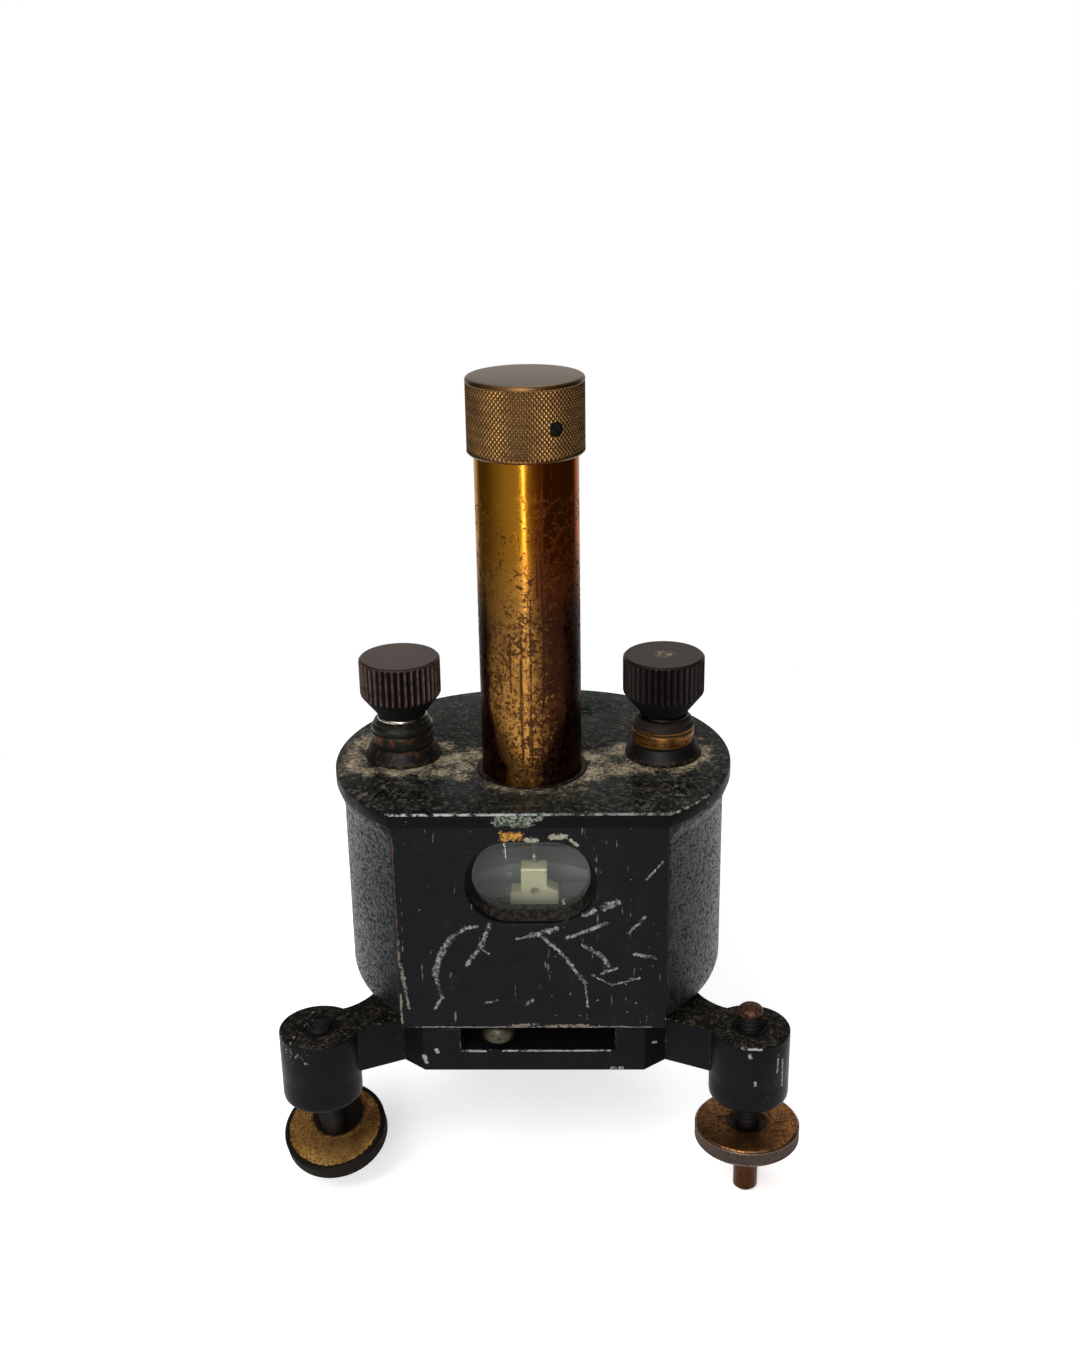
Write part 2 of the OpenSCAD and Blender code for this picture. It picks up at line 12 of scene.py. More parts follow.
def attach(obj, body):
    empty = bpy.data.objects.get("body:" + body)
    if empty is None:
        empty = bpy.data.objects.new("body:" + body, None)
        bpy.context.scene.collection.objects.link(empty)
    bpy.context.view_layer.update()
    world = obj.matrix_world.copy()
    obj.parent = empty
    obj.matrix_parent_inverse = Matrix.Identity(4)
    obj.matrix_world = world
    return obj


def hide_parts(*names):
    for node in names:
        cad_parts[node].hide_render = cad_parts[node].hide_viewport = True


MM = 0.001
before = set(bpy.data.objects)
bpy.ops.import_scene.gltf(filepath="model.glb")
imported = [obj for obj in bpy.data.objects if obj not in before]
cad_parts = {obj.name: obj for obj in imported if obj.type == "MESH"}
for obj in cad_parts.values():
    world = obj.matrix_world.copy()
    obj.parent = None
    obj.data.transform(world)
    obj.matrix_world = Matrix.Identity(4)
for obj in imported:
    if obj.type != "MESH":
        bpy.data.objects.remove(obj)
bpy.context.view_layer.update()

# Sizes shared with the frame
PLATE_TOP = 111.0
PLATE_UNDER = 106.9
BASE_TOP = 49.5
BASE_UNDER = 36.8
CASE_FRONT = 25.9
CASE_FLOOR = 52.5
WINDOW_W = 32.6
WINDOW_H = 22.4
WINDOW_Z = 91.5
TUBE_R = 12.7
STEM_R = 3.175
PLAN_HALF = 5.2
PLAN_BACK = 7.4
CASE_R = 44.3
CASE_INNER_R = 40.8
CASE_INNER_FRONT = 22.4
PLATE_R = 46.2
PLATE_FRONT = 28.5
FOOT_R = 61.0
BOSS_BOTTOM = 29.5
COVER_HALF = 33.9
FEET = {"left": 205.0, "right": -25.0, "rear": 90.0}
TERMINALS = {"left": (-33.9, 7.6), "right": (33.9, 7.6)}
PLATE_SCREWS = ((-37.5, -15.5), (37.5, -15.5), (13.0, 35.5))
UPRIGHT = Matrix.Rotation(math.radians(90), 4, "X")


def foot_place(side):
    a = math.radians(FEET[side])
    return FOOT_R * math.cos(a), FOOT_R * math.sin(a)


# Shapes: each is a pair of points and faces

def arc(centre, r, start, end, step=1.2):
    """Points of an arc, angles in degrees."""
    count = max(3, int(abs(math.radians(end - start)) * r / step) + 2)
    a = np.radians(np.linspace(start, end, count))
    return np.column_stack([centre[0] + r * np.cos(a), centre[1] + r * np.sin(a)])


def circle(centre, r, step=1.0):
    """A closed loop that runs clockwise, for a hole."""
    return arc(centre, r, 0, 360, step)[:-1][::-1]


def fillet(corners, closed=False, steps=4):
    """Rounds the corners of a line of (x, y, radius)."""
    made = []
    count = len(corners)
    for i, (x, y, r) in enumerate(corners):
        if r <= 0 or (not closed and i in (0, count - 1)):
            made.append((x, y))
            continue
        here = Vector((x, y))
        back = Vector(corners[i - 1][:2]) - here
        ahead = Vector(corners[(i + 1) % count][:2]) - here
        half = back.angle(ahead) / 2
        cut = min(r / math.tan(half), 0.49 * back.length, 0.49 * ahead.length)
        r = cut * math.tan(half)
        back.normalize()
        ahead.normalize()
        centre = here + (back + ahead).normalized() * (r / math.sin(half))
        first = here + back * cut - centre
        last = here + ahead * cut - centre
        start = math.atan2(first.y, first.x)
        turn = (math.atan2(last.y, last.x) - start + math.pi) % (2 * math.pi) - math.pi
        for k in range(steps + 1):
            a = start + turn * k / steps
            made.append((centre.x + r * math.cos(a), centre.y + r * math.sin(a)))
    return np.array(made, float)


def dense(loop, step):
    """The loop with points added so that none lie further apart than step."""
    made = []
    for a, b in zip(loop, np.roll(loop, -1, 0)):
        count = max(1, int(np.ceil(np.linalg.norm(b - a) / step)))
        made += [a + (b - a) * k / count for k in range(count)]
    return np.array(made, float)


def inset(loop, distance):
    """The closed loop moved to the left of its direction."""
    ahead = np.roll(loop, -1, 0) - loop
    ahead /= np.linalg.norm(ahead, axis=1, keepdims=True)
    left = np.column_stack([-ahead[:, 1], ahead[:, 0]])
    both = left + np.roll(left, 1, 0)
    both /= np.linalg.norm(both, axis=1, keepdims=True)
    lean = np.maximum((both * left).sum(1, keepdims=True), 0.5)
    return loop + both * distance / lean


def skin(pairs):
    """Faces between pairs of rings of point numbers. A ring may be a single point."""
    faces = []
    for low, high in pairs:
        count = max(len(low), len(high))
        for j in range(count):
            k = (j + 1) % count
            if len(low) == 1:
                faces.append((low[0], high[k], high[j]))
            elif len(high) == 1:
                faces.append((low[j], low[k], high[0]))
            else:
                faces.append((low[j], low[k], high[k], high[j]))
    return faces


def in_order(rings, closed=False):
    """Each ring with the next, and the last with the first when closed."""
    return zip(rings, rings[1:] + (rings[:1] if closed else []))


def joined(*shapes):
    points = []
    faces = []
    start = 0
    for p, f in shapes:
        points.append(p)
        faces += [tuple(i + start for i in face) for face in f]
        start += len(p)
    return np.vstack(points), faces


def wall(loop, levels, closed=False):
    """A wall that follows a loop at each level of (inset, z)."""
    count = len(loop)
    points = np.vstack([np.column_stack([inset(loop, d), np.full(count, z)]) for d, z in levels])
    return points, skin(in_order([range(k * count, (k + 1) * count) for k in range(len(levels))], closed))


def inside(points, loops):
    """Which points lie inside the loops, by the even-odd rule."""
    odd = np.zeros(len(points), bool)
    for loop in loops:
        for (ax, ay), (bx, by) in zip(loop, np.roll(loop, -1, 0)):
            if ay == by:
                continue
            over = (ay > points[:, 1]) != (by > points[:, 1])
            odd ^= over & (points[:, 0] < (bx - ax) * (points[:, 1] - ay) / (by - ay) + ax)
    return odd


def cap(loops):
    """Triangles that fill the space between an outer loop and its holes."""
    points = np.vstack(loops)
    edges = []
    start = 0
    for loop in loops:
        count = len(loop)
        edges += [(start + j, start + (j + 1) % count) for j in range(count)]
        start += count
    _, _, faces, origin, _, _ = delaunay_2d_cdt([Vector(p) for p in points], edges, [], 0, 1e-5)
    faces = np.array([[origin[i][0] for i in f] for f in faces])
    faces = faces[inside(points[faces].mean(1), loops)]
    a, b, c = (points[faces[:, i]] for i in range(3))
    turned = (b - a)[:, 0] * (c - a)[:, 1] - (b - a)[:, 1] * (c - a)[:, 0] < 0
    faces[turned] = faces[turned][:, ::-1]
    return faces


def slab(loops, levels):
    """A closed flat piece: outer loop counter-clockwise, holes clockwise, levels of (inset, z) upwards."""
    walls = [wall(loop, levels) for loop in loops]
    points, faces = joined(*walls)
    starts = np.cumsum([0] + [len(p) for p, _ in walls])
    for top in (False, True):
        rings = [np.arange(len(loop)) + start + top * len(loop) * (len(levels) - 1)
                 for loop, start in zip(loops, starts)]
        index = np.concatenate(rings)
        for f in cap([points[r][:, :2] for r in rings]):
            faces.append(tuple(index[f] if top else index[f][::-1]))
    return points, faces


def edges(low, high, low_round, high_round, steps=4, middle=()):
    """Levels of (inset, z) of a slab with rounded edges."""
    def rounded(z, r, way):
        quarter = np.linspace(0, math.pi / 2, steps + 1)
        return [(r * (1 - math.sin(a)), z + way * r * (1 - math.cos(a))) for a in quarter] if r else [(0, z)]

    return rounded(low, low_round, 1) + [(0, z) for z in middle] + rounded(high, high_round, -1)[::-1]


def lathe(profile, angles=96, form=None, closed=False, centre=(0, 0)):
    """A profile of (r, z) turned about Z. form(r, z, angle) gives each ring its own radii."""
    angles = np.linspace(0, 2 * np.pi, angles, endpoint=False)
    count = len(angles)
    points = []
    rings = []
    start = 0
    for r, z in profile:
        if r < 1e-6 and not closed:
            points.append(np.array([[centre[0], centre[1], z]]))
        else:
            radii = np.full(count, float(r))
            if form:
                radii = form(radii, z, angles)
            points.append(np.column_stack([centre[0] + radii * np.cos(angles),
                                           centre[1] + radii * np.sin(angles), np.full(count, z)]))
        rings.append(range(start, start + len(points[-1])))
        start += len(points[-1])
    return np.vstack(points), skin(in_order(rings, closed))


def rows(profile, step):
    """The profile with rows added so that none lie further apart than step."""
    made = [tuple(profile[0])]
    for (ra, za), (rb, zb) in zip(profile[:-1], profile[1:]):
        count = max(1, int(math.ceil(math.hypot(rb - ra, zb - za) / step)))
        if min(ra, rb) < 1e-6:
            count = 1
        made += [(ra + (rb - ra) * k / count, za + (zb - za) * k / count) for k in range(1, count + 1)]
    return made


def rod(r, low, high, sides=48):
    return lathe([(0, low), (r, low), (r, high), (0, high)], sides)


def box_loop(x0, x1, y0, y1, r=0.0):
    return fillet([(x0, y0, r), (x1, y0, r), (x1, y1, r), (x0, y1, r)], closed=True)


def block(x0, x1, y0, y1, z0, z1):
    return slab([box_loop(x0, x1, y0, y1)], [(0, z0), (0, z1)])


def window_loop(hole=False):
    """The window's outline: a rectangle with round ends."""
    half = (WINDOW_W - WINDOW_H) / 2
    loop = np.vstack([arc((half, WINDOW_Z), WINDOW_H / 2, -90, 90, 0.8),
                      arc((-half, WINDOW_Z), WINDOW_H / 2, 90, 270, 0.8)])
    return loop[::-1] if hole else loop


def moved(shape, matrix):
    points, faces = shape
    grid = np.array(matrix)
    return points @ grid[:3, :3].T + grid[:3, 3], faces


def put(shape, turn=0.0, u=0.0):
    """A shape moved out along a direction in degrees."""
    a = math.radians(turn)
    place = Matrix.Translation((u * math.cos(a), u * math.sin(a), 0))
    return moved(shape, place @ Matrix.Rotation(a, 4, "Z"))


# Pieces

def bare(name, shape):
    points, faces = shape
    mesh = bpy.data.meshes.new(name)
    mesh.from_pydata((np.asarray(points) * MM).tolist(), [], [tuple(int(i) for i in f) for f in faces])
    mesh.validate()
    work = bmesh.new()
    work.from_mesh(mesh)
    bmesh.ops.recalc_face_normals(work, faces=work.faces)
    work.to_mesh(mesh)
    work.free()
    obj = bpy.data.objects.new(name, mesh)
    bpy.context.scene.collection.objects.link(obj)
    return obj


def boolean(obj, operation, shape):
    """Adds or takes away a closed shape."""
    tool = bare("tool", shape)
    step = obj.modifiers.new("step", "BOOLEAN")
    step.operation = operation
    step.solver = "EXACT"
    step.object = tool
    bpy.context.view_layer.update()
    graph = bpy.context.evaluated_depsgraph_get()
    made = bpy.data.meshes.new_from_object(obj.evaluated_get(graph))
    obj.modifiers.clear()
    obj.data = made
    bpy.data.objects.remove(tool)


def piece(name, shape, material, body, slot, *replaces, add=(), cut=(), matrix=None, sharp=38):
    """One object of the model on its body. It replaces the named nodes."""
    obj = bare(name, shape)
    for other in add:
        boolean(obj, "UNION", other)
    for other in cut:
        boolean(obj, "DIFFERENCE", other)
    if matrix is not None:
        obj.data.transform(Matrix.Scale(MM, 4) @ matrix @ Matrix.Scale(1 / MM, 4))
    mesh = obj.data
    mesh.name = name
    mesh.polygons.foreach_set("use_smooth", [True] * len(mesh.polygons))
    mesh.set_sharp_from_angle(angle=math.radians(sharp))
    mesh.materials.clear()
    mesh.materials.append(material)
    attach(obj, body)
    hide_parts(*replaces)


# Materials. A colour is written 0xRRGGBB, as a picture shows it

def rgb(code):
    """The shader's linear colour."""
    parts = [(code >> shift & 255) / 255 for shift in (16, 8, 0)]
    return tuple(c / 12.92 if c <= 0.04045 else ((c + 0.055) / 1.055) ** 2.4 for c in parts) + (1.0,)


class Graph:
    """Adds nodes to a material or world."""

    def __init__(self, owner):
        owner.use_nodes = True
        self.tree = owner.node_tree
        self.tree.nodes.clear()

    def add(self, kind, *values, **settings):
        """A node with its first inputs fed. None leaves an input as it is."""
        node = self.tree.nodes.new("ShaderNode" + kind)
        for key, value in settings.items():
            setattr(node, key, value)
        for socket, value in zip(node.inputs, values):
            if value is not None:
                self.feed(socket, value)
        return node

    def feed(self, socket, value):
        if isinstance(value, bpy.types.NodeSocket):
            self.tree.links.new(value, socket)
        else:
            socket.default_value = value

    def split(self, vector):
        return tuple(self.add("SeparateXYZ", vector).outputs)

    def math(self, operation, a, b=0.0, clamp=False):
        return self.add("Math", a, b, 0.0, operation=operation, use_clamp=clamp).outputs[0]

    def less(self, a, b):
        return self.math("SUBTRACT", a, b)

    def plus(self, a, b):
        return self.math("ADD", a, b)

    def size(self, a):
        return self.math("ABSOLUTE", a)

    def apart(self, a, b):
        """How far two values lie apart."""
        return self.size(self.less(a, b))

    def chain(self, operation, values):
        made = values[0]
        for value in values[1:]:
            made = self.math(operation, made, value)
        return made

    def both(self, *masks):
        return self.chain("MULTIPLY", masks)

    def either(self, *masks):
        return self.chain("MAXIMUM", masks)

    def ramp(self, value, low, high, first, last):
        return self.add("MapRange", value, low, high, first, last, interpolation_type="SMOOTHSTEP").outputs[0]

    def seen(self, *kinds):
        """1 for the named kinds of ray."""
        path = self.add("LightPath")
        return self.either(*(path.outputs["Is %s Ray" % kind] for kind in kinds))


class Look(Graph):
    """A procedural material. Lengths in it are in millimetres of the row frame."""

    def __init__(self, name, roughness=0.5, metallic=0.0, specular=0.5, **sockets):
        self.material = bpy.data.materials.new(name)
        super().__init__(self.material)
        self.shader = self.add("BsdfPrincipled")
        self.output = self.add("OutputMaterial", self.shader.outputs[0]).inputs[0]
        for key, value in dict(roughness=roughness, metallic=metallic, **sockets).items():
            self.shader.inputs[key.replace("_", " ").title()].default_value = value
        self.shader.inputs["Specular IOR Level"].default_value = specular
        place = self.add("TexCoord")
        _, self.front, self.up = self.split(place.outputs["Normal"])
        self.at = self.vector("SCALE", place.outputs["Object"], scale=1 / MM)
        self.x, self.y, self.z = self.split(self.at)
        self.normal = None
        self.tone = None

    def join(self, x, y, z):
        return self.add("CombineXYZ", x, y, z).outputs[0]

    def vector(self, operation, a, b=(0, 0, 0), scale=None):
        node = self.add("VectorMath", a, b, None, scale, operation=operation)
        return node.outputs["Value" if operation in ("LENGTH", "DOT_PRODUCT") else "Vector"]

    def step(self, value, low, high):
        """0 below low and 1 above high, or the other way round when low is the greater."""
        return self.ramp(value, min(low, high), max(low, high), float(low > high), float(low <= high))

    def noise(self, size, detail=3.0, rough=0.55, seed=0.0, stretch=None, bend=0.0):
        at = self.vector("MULTIPLY", self.at, stretch) if stretch else self.at
        node = self.add("TexNoise", at, seed * 7.31, 1.0 / size, detail, rough, noise_dimensions="4D")
        node.inputs["Distortion"].default_value = bend
        return node.outputs[0]

    def blot(self, low, high, *grain, **more):
        """A noise cut off between two levels."""
        return self.step(self.noise(*grain, **more), low, high)

    def sway(self, amount, *grain):
        """A noise about zero."""
        return self.both(self.less(self.noise(*grain), 0.5), amount)

    def shaken(self, amount, size, seed=0.0):
        """The place moved about by a noise, to make edges ragged."""
        node = self.add("TexNoise", self.at, seed * 3.17, 1.0 / size, 3.0, noise_dimensions="4D")
        away = self.vector("SUBTRACT", node.outputs["Color"], (0.5, 0.5, 0.5))
        return self.vector("ADD", self.at, self.vector("SCALE", away, scale=2 * amount))

    def cells(self, size, feature, at, seed):
        return self.add("TexVoronoi", at, seed * 5.77, 1.0 / size, voronoi_dimensions="4D", feature=feature)

    def specks(self, spacing, radius, share, seed, shake=0.8):
        """Ragged dots of up to a radius, in a share of cells of a size."""
        node = self.cells(spacing, "F1", self.shaken(radius * shake * 2, radius * 2, seed), seed)
        pick = self.add("SeparateColor", node.outputs["Color"])
        chosen = self.math("LESS_THAN", pick.outputs[0], share)
        near = self.math("LESS_THAN", node.outputs["Distance"], self.both(pick.outputs[1], radius / spacing))
        return self.both(near, chosen)

    def mix(self, mask, a, b):
        node = self.add("Mix", mask, data_type="RGBA")
        for socket, value in ((6, a), (7, b)):
            self.feed(node.inputs[socket], rgb(value) if isinstance(value, int) else value)
        return node.outputs[2]

    def blend(self, mask, a, b):
        return self.add("Mix", mask, None, a, b, data_type="FLOAT").outputs[0]

    def lay(self, color, *masks):
        """Lays a colour over the tone where all the masks are."""
        self.tone = self.mix(self.both(*masks), self.tone, color)

    def edge(self, radius, low=0.02, high=0.2):
        """1 on edges of the mesh within a radius."""
        soft = self.add("Bevel", radius * MM, samples=6)
        hard = self.add("NewGeometry")
        away = self.less(1.0, self.vector("DOT_PRODUCT", soft.outputs[0], hard.outputs["Normal"]))
        return self.step(away, low, high)

    def bump(self, height, depth, strength=1.0):
        node = self.add("Bump")
        for key, value in (("Strength", strength), ("Distance", depth * MM), ("Height", height),
                           ("Normal", self.normal)):
            if value is not None:
                self.feed(node.inputs[key], value)
        self.normal = node.outputs[0]

    def finish(self, roughness=None, metallic=None):
        for key, value in (("Base Color", self.tone), ("Roughness", roughness), ("Metallic", metallic),
                           ("Normal", self.normal)):
            if value is not None:
                self.feed(self.shader.inputs[key], value)
        return self.material

    def strokes(self, lines, at, ragged, size, seed):
        """Mask of scratches: lines of (width, x0, y0, x1, y1, ...) in the plane of at."""
        rough = self.less(self.noise(size, 4.0, 0.7, seed), 0.5)
        nearest = None
        for width, *path in lines:
            # Each line waits for the one before it, or the shader holds too many values at once
            if nearest is not None:
                at = self.add("VectorMath", nearest, (1e-7, 1e-7, 1e-7), at, operation="MULTIPLY_ADD")
                at = at.outputs[0]
            ends = list(zip(path[::2], path[1::2]))
            for (ax, ay), (bx, by) in zip(ends[:-1], ends[1:]):
                along = Vector((bx - ax, by - ay, 0))
                start = self.vector("SUBTRACT", at, (ax, ay, 0))
                share = self.math("DIVIDE", self.vector("DOT_PRODUCT", start, tuple(along)),
                                  along.length_squared, clamp=True)
                foot = self.vector("SUBTRACT", start, self.vector("SCALE", tuple(along), scale=share))
                far = self.math("DIVIDE", self.vector("LENGTH", foot), width / 2)
                nearest = far if nearest is None else self.math("MINIMUM", nearest, far)
        return self.step(self.plus(nearest, self.both(rough, ragged * 4)), 1.15, 0.75)


def radius_from(m, x, y):
    return m.vector("LENGTH", m.vector("SUBTRACT", m.join(m.x, m.y, 0.0), (x, y, 0)))


def case_look():
    m = Look("case_crackle", specular=0.25)
    m.tone = m.mix(m.noise(9.0), 0x060607, 0x0C0D0E)
    pits = m.blot(0.5, 0.42, 0.75, 3.0, 0.55, 1)
    grain = m.noise(0.62, 3.0, 0.6, 2)
    swell = m.noise(1.5, 2.0, 0.5, 3)
    dust = m.blot(0.56, 0.64, 0.45, 3.0, 0.6, 4)
    m.lay(0x383836, dust, 0.2)
    m.lay(0x030304, pits, 0.8)
    worn = m.both(m.edge(0.7, 0.04, 0.25), m.blot(0.5, 0.62, 1.6, 4.0, 0.7, 5))
    m.lay(0x6E6A62, worn)
    beside = m.math("MAXIMUM", m.less(m.size(m.x), PLAN_HALF), 0.0)
    reach = m.vector("LENGTH", m.join(beside, m.less(m.y, PLAN_BACK), 0.0))
    within = m.both(m.step(reach, 42.8, 42.0), m.step(m.y, -25.0, -24.0), m.step(m.z, 52.2, 52.4))
    m.lay(0xB0B2AE, within)
    height = m.plus(m.both(grain, 0.55), m.both(swell, 0.8))
    m.bump(m.less(height, m.both(pits, 0.5)), 0.36, 1.0)
    return m.finish(m.blend(pits, 0.34, 0.7))


SCRATCHES = [
    (0.8, -13.5, 79.5, -16.5, 79.0, -20.0, 76.5),
    (1.5, -20.0, 76.5, -22.5, 72.5, -24.0, 69.0, -24.5, 65.5),
    (0.8, -24.5, 65.5, -23.0, 59.0, -25.0, 56.0),
    (1.0, -10.5, 80.0, -12.5, 74.5, -16.5, 68.5),
    (0.5, -13.0, 73.5, -10.8, 71.7),
    (0.6, -3.6, 76.0, 0.0, 77.0),
    (1.4, 0.0, 77.0, 6.2, 78.8),
    (0.9, 2.6, 76.5, 7.5, 71.7, 10.5, 67.3, 13.2, 63.6),
    (0.5, 13.2, 63.6, 13.9, 56.5),
    (0.9, 8.6, 76.2, 14.5, 78.5, 18.8, 80.5),
    (1.7, 18.0, 84.7, 21.2, 86.3),
    (1.1, 13.0, 74.0, 17.3, 71.3, 19.2, 68.2),
    (0.7, 24.0, 77.5, 28.2, 82.0),
    (0.5, 28.6, 92.5, 32.5, 97.5),
    (0.9, 25.8, 71.5, 30.8, 70.5),
    (0.5, 15.0, 65.5, 20.0, 62.7, 27.0, 64.7),
    (1.2, 13.3, 82.7, 15.8, 84.1),
    (0.8, 21.0, 67.5, 17.5, 66.0),
    (0.6, -9.0, 58.2, -12.0, 57.5),
    (0.9, -1.5, 57.2, 0.0, 58.3),
]
EDGE_WEAR = [
    (0.6, -33.8, 104.0, -33.8, 86.0),
    (0.7, -33.8, 86.0, -33.5, 70.0),
    (1.0, -33.3, 69.0, -32.4, 62.0),
    (0.7, -32.4, 62.0, -31.6, 56.0),
    (0.6, -33.6, 60.0, -33.5, 51.5),
    (0.4, -30.0, 50.3, 30.0, 50.3),
    (0.7, -6.0, 50.7, 1.0, 51.1),
    (0.6, 3.0, 50.6, 14.0, 50.8),
]
CHIPS = [
    (1.6, -0.6, 103.4, 1.4, 103.2),
    (1.6, 5.4, 104.2, 8.6, 104.4),
    (0.9, 10.0, 103.4, 11.4, 102.0),
]


def cover_look():
    m = Look("cover_enamel", specular=0.06)
    moved_x, _, moved_z = m.split(m.shaken(0.45, 1.3, 21))
    flat = m.join(moved_x, moved_z, 0.0)
    m.tone = m.mix(m.noise(7.0, 4.0), 0x090A0C, 0x111215)
    m.lay(0x1E1E20, m.blot(0.52, 0.7, 2.6, 5.0, 0.7, 3), 0.5)
    dots = m.specks(1.5, 0.26, 0.6, 2, 0.6)
    more = m.specks(1.3, 0.36, 0.6, 4)
    low = m.both(m.step(m.x, -6.0, 18.0), m.step(m.z, 84.0, 62.0))
    dots = m.either(m.both(dots, m.blot(0.42, 0.54, 10.0, 3.0, 0.6, 5)),
                    m.both(more, low, m.blot(0.46, 0.55, 6.0, 2.0, 0.5, 6)))
    hair = m.blot(0.63, 0.66, 1.1, 4.0, 0.6, 15, stretch=(1.0, 1.0, 0.09), bend=0.4)
    hair = m.both(hair, m.blot(0.5, 0.6, 5.0, 3.0, 0.6, 16))
    grain = m.blot(0.45, 0.53, 0.38, 3.0, 0.7, 17)
    gaps = m.blot(0.4, 0.5, 1.7, 4.0, 0.7, 18)
    lines = m.both(m.strokes(SCRATCHES, flat, 0.9, 0.6, 7), m.blend(grain, 0.3, 1.0),
                   m.blend(gaps, 0.12, 1.0))
    wear = m.both(m.strokes(EDGE_WEAR, flat, 0.95, 0.8, 8), m.blend(gaps, 0.1, 1.0))
    chips = m.both(m.strokes(CHIPS, flat, 0.95, 0.7, 9), m.blend(grain, 0.45, 1.0))
    orange = m.strokes([(2.3, -6.2, 104.4, -2.6, 104.6)], flat, 0.95, 0.8, 10)
    rim = m.both(m.edge(0.3, 0.03, 0.2), m.blot(0.44, 0.6, 2.2, 4.0, 0.65, 11))
    scuff = m.mix(m.blot(0.36, 0.62, 1.0, 4.0, 0.75, 12), 0x404244, 0x989897)
    rust = m.mix(m.step(m.z, 62.0, 84.0), 0x928A7E, 0x624838)
    m.lay(0x767676, m.either(dots, hair), 0.7)
    m.lay(scuff, lines)
    m.lay(0x706C66, rim, 0.55)
    m.lay(rust, wear, 0.5)
    m.lay(0x969280, chips)
    m.lay(m.mix(m.blot(0.4, 0.58, 0.7, 4.0, 0.75, 13), 0x4A2E0E, 0xB0823E), orange)
    bare_spots = m.either(lines, wear, chips, orange)
    m.bump(m.noise(1.6, 4.0, 0.6, 14), 0.05, 0.6)
    m.bump(m.less(1.0, bare_spots), 0.06, 0.8)
    return m.finish(m.blend(bare_spots, 0.34, 0.6))


def plate_look():
    m = Look("plate_enamel", specular=0.05)
    wipe = m.noise(9.0, 5.0, 0.66, 1, stretch=(0.5, 1.3, 1.0), bend=0.6)
    fine = m.noise(1.2, 5.0, 0.75, 2)
    m.tone = m.mix(m.step(wipe, 0.38, 0.62), 0x0A0B0B, 0x202421)
    m.lay(0x545449, m.step(fine, 0.49, 0.6), 0.75)
    m.lay(0x060606, m.blot(0.5, 0.57, 1.1, 5.0, 0.78, 3), 0.9)
    brown = m.both(m.step(m.apart(m.x, 4.0), 22.0, 6.0), m.step(m.y, -12.0, -19.0))
    m.lay(0x28221A, brown, m.blot(0.4, 0.6, 3.0, 4.0, 0.7, 4), 0.4)
    top = m.step(m.up, 0.6, 0.9)
    dust = None
    for place, r, reach in (((0, 0), TUBE_R, 11.0), (TERMINALS["left"], 9.9, 10.0),
                            (TERMINALS["right"], 9.9, 8.0)):
        near = m.step(radius_from(m, *place), r + reach, r - 0.5)
        dust = near if dust is None else m.plus(dust, near)
    ends = m.both(m.step(m.size(m.x), 12.0, 17.0), m.step(m.size(m.x), 31.0, 22.0),
                  m.step(m.y, -13.0, -4.0), m.step(m.y, 16.0, 5.0))
    dust = m.plus(dust, m.both(ends, 0.9))
    dust = m.plus(dust, m.both(m.step(m.x, -24.0, -46.0), 0.35))
    broken = m.sway(3.2, 0.9, 6.0, 0.82, 5)
    drift = m.sway(3.0, 5.5, 3.0, 0.6, 16)
    fluff = m.step(m.plus(m.math("MINIMUM", dust, 1.0), m.plus(broken, drift)), 0.55, 1.45)
    dusty = m.mix(m.blot(0.35, 0.65, 0.8, 5.0, 0.75, 6), 0x645848, 0xCEBC9E)
    m.lay(dusty, fluff, top, 0.9)
    side = m.step(m.up, 0.5, 0.2)
    m.lay(m.mix(m.noise(5.0), 0x030304, 0x0A0A0B), side)
    flakes = m.both(m.specks(1.5, 0.42, 0.7, 8), side, m.blot(0.46, 0.56, 7.0, 2.0, 0.5, 9))
    m.lay(0x787874, flakes, 0.8)
    front = m.step(m.front, -0.5, -0.8)
    flat = m.join(m.x, m.z, 0.0)
    blotch = m.both(m.strokes([(3.4, -7.0, 109.2, -0.6, 109.0), (1.2, 0.5, 109.0, 3.0, 110.0)], flat, 0.8,
                              1.1, 10), front)
    m.lay(m.mix(m.blot(0.42, 0.6, 0.6, 4.0, 0.75, 11), 0x181B18, 0x848A7A), blotch, 0.85)
    # Painted highlight: a pale line along the rounded front top edge of the plate.
    line = m.both(m.step(m.up, 0.2, 0.45), m.step(m.up, 0.98, 0.85), m.step(m.y, -27.4, -27.7))
    rub = m.both(m.edge(0.7, 0.04, 0.25), m.blot(0.46, 0.6, 3.2, 4.0, 0.7, 12))
    away = m.both(*(m.math("GREATER_THAN", m.apart(radius_from(m, x, y), 2.6), 0.6)
                    for x, y in PLATE_SCREWS[:2]))
    corner = m.both(m.step(m.x, 33.0, 36.0), m.step(m.y, -14.0, -20.0), m.step(m.up, 0.9, 0.6),
                    m.step(m.up, 0.1, 0.3))
    m.lay(0x64625A, rub, away, 0.4)
    m.lay(0xA4A096, corner, m.blot(0.46, 0.54, 1.4, 4.0, 0.7, 15), 0.7)
    # The painted highlight is brighter towards the left.
    shine = m.mix(m.step(m.x, 20.0, -30.0), 0x969898, 0xCED0D0)
    m.lay(shine, line, m.blot(0.44, 0.55, 2.4, 5.0, 0.75, 13), 0.55)
    m.bump(fine, 0.08, 0.6)
    m.bump(m.both(fluff, m.noise(0.5, 3.0, 0.6, 14)), 0.2, 0.7)
    rough = m.blend(m.both(fluff, top), m.blend(m.step(wipe, 0.35, 0.65), 0.32, 0.5), 0.9)
    return m.finish(rough)


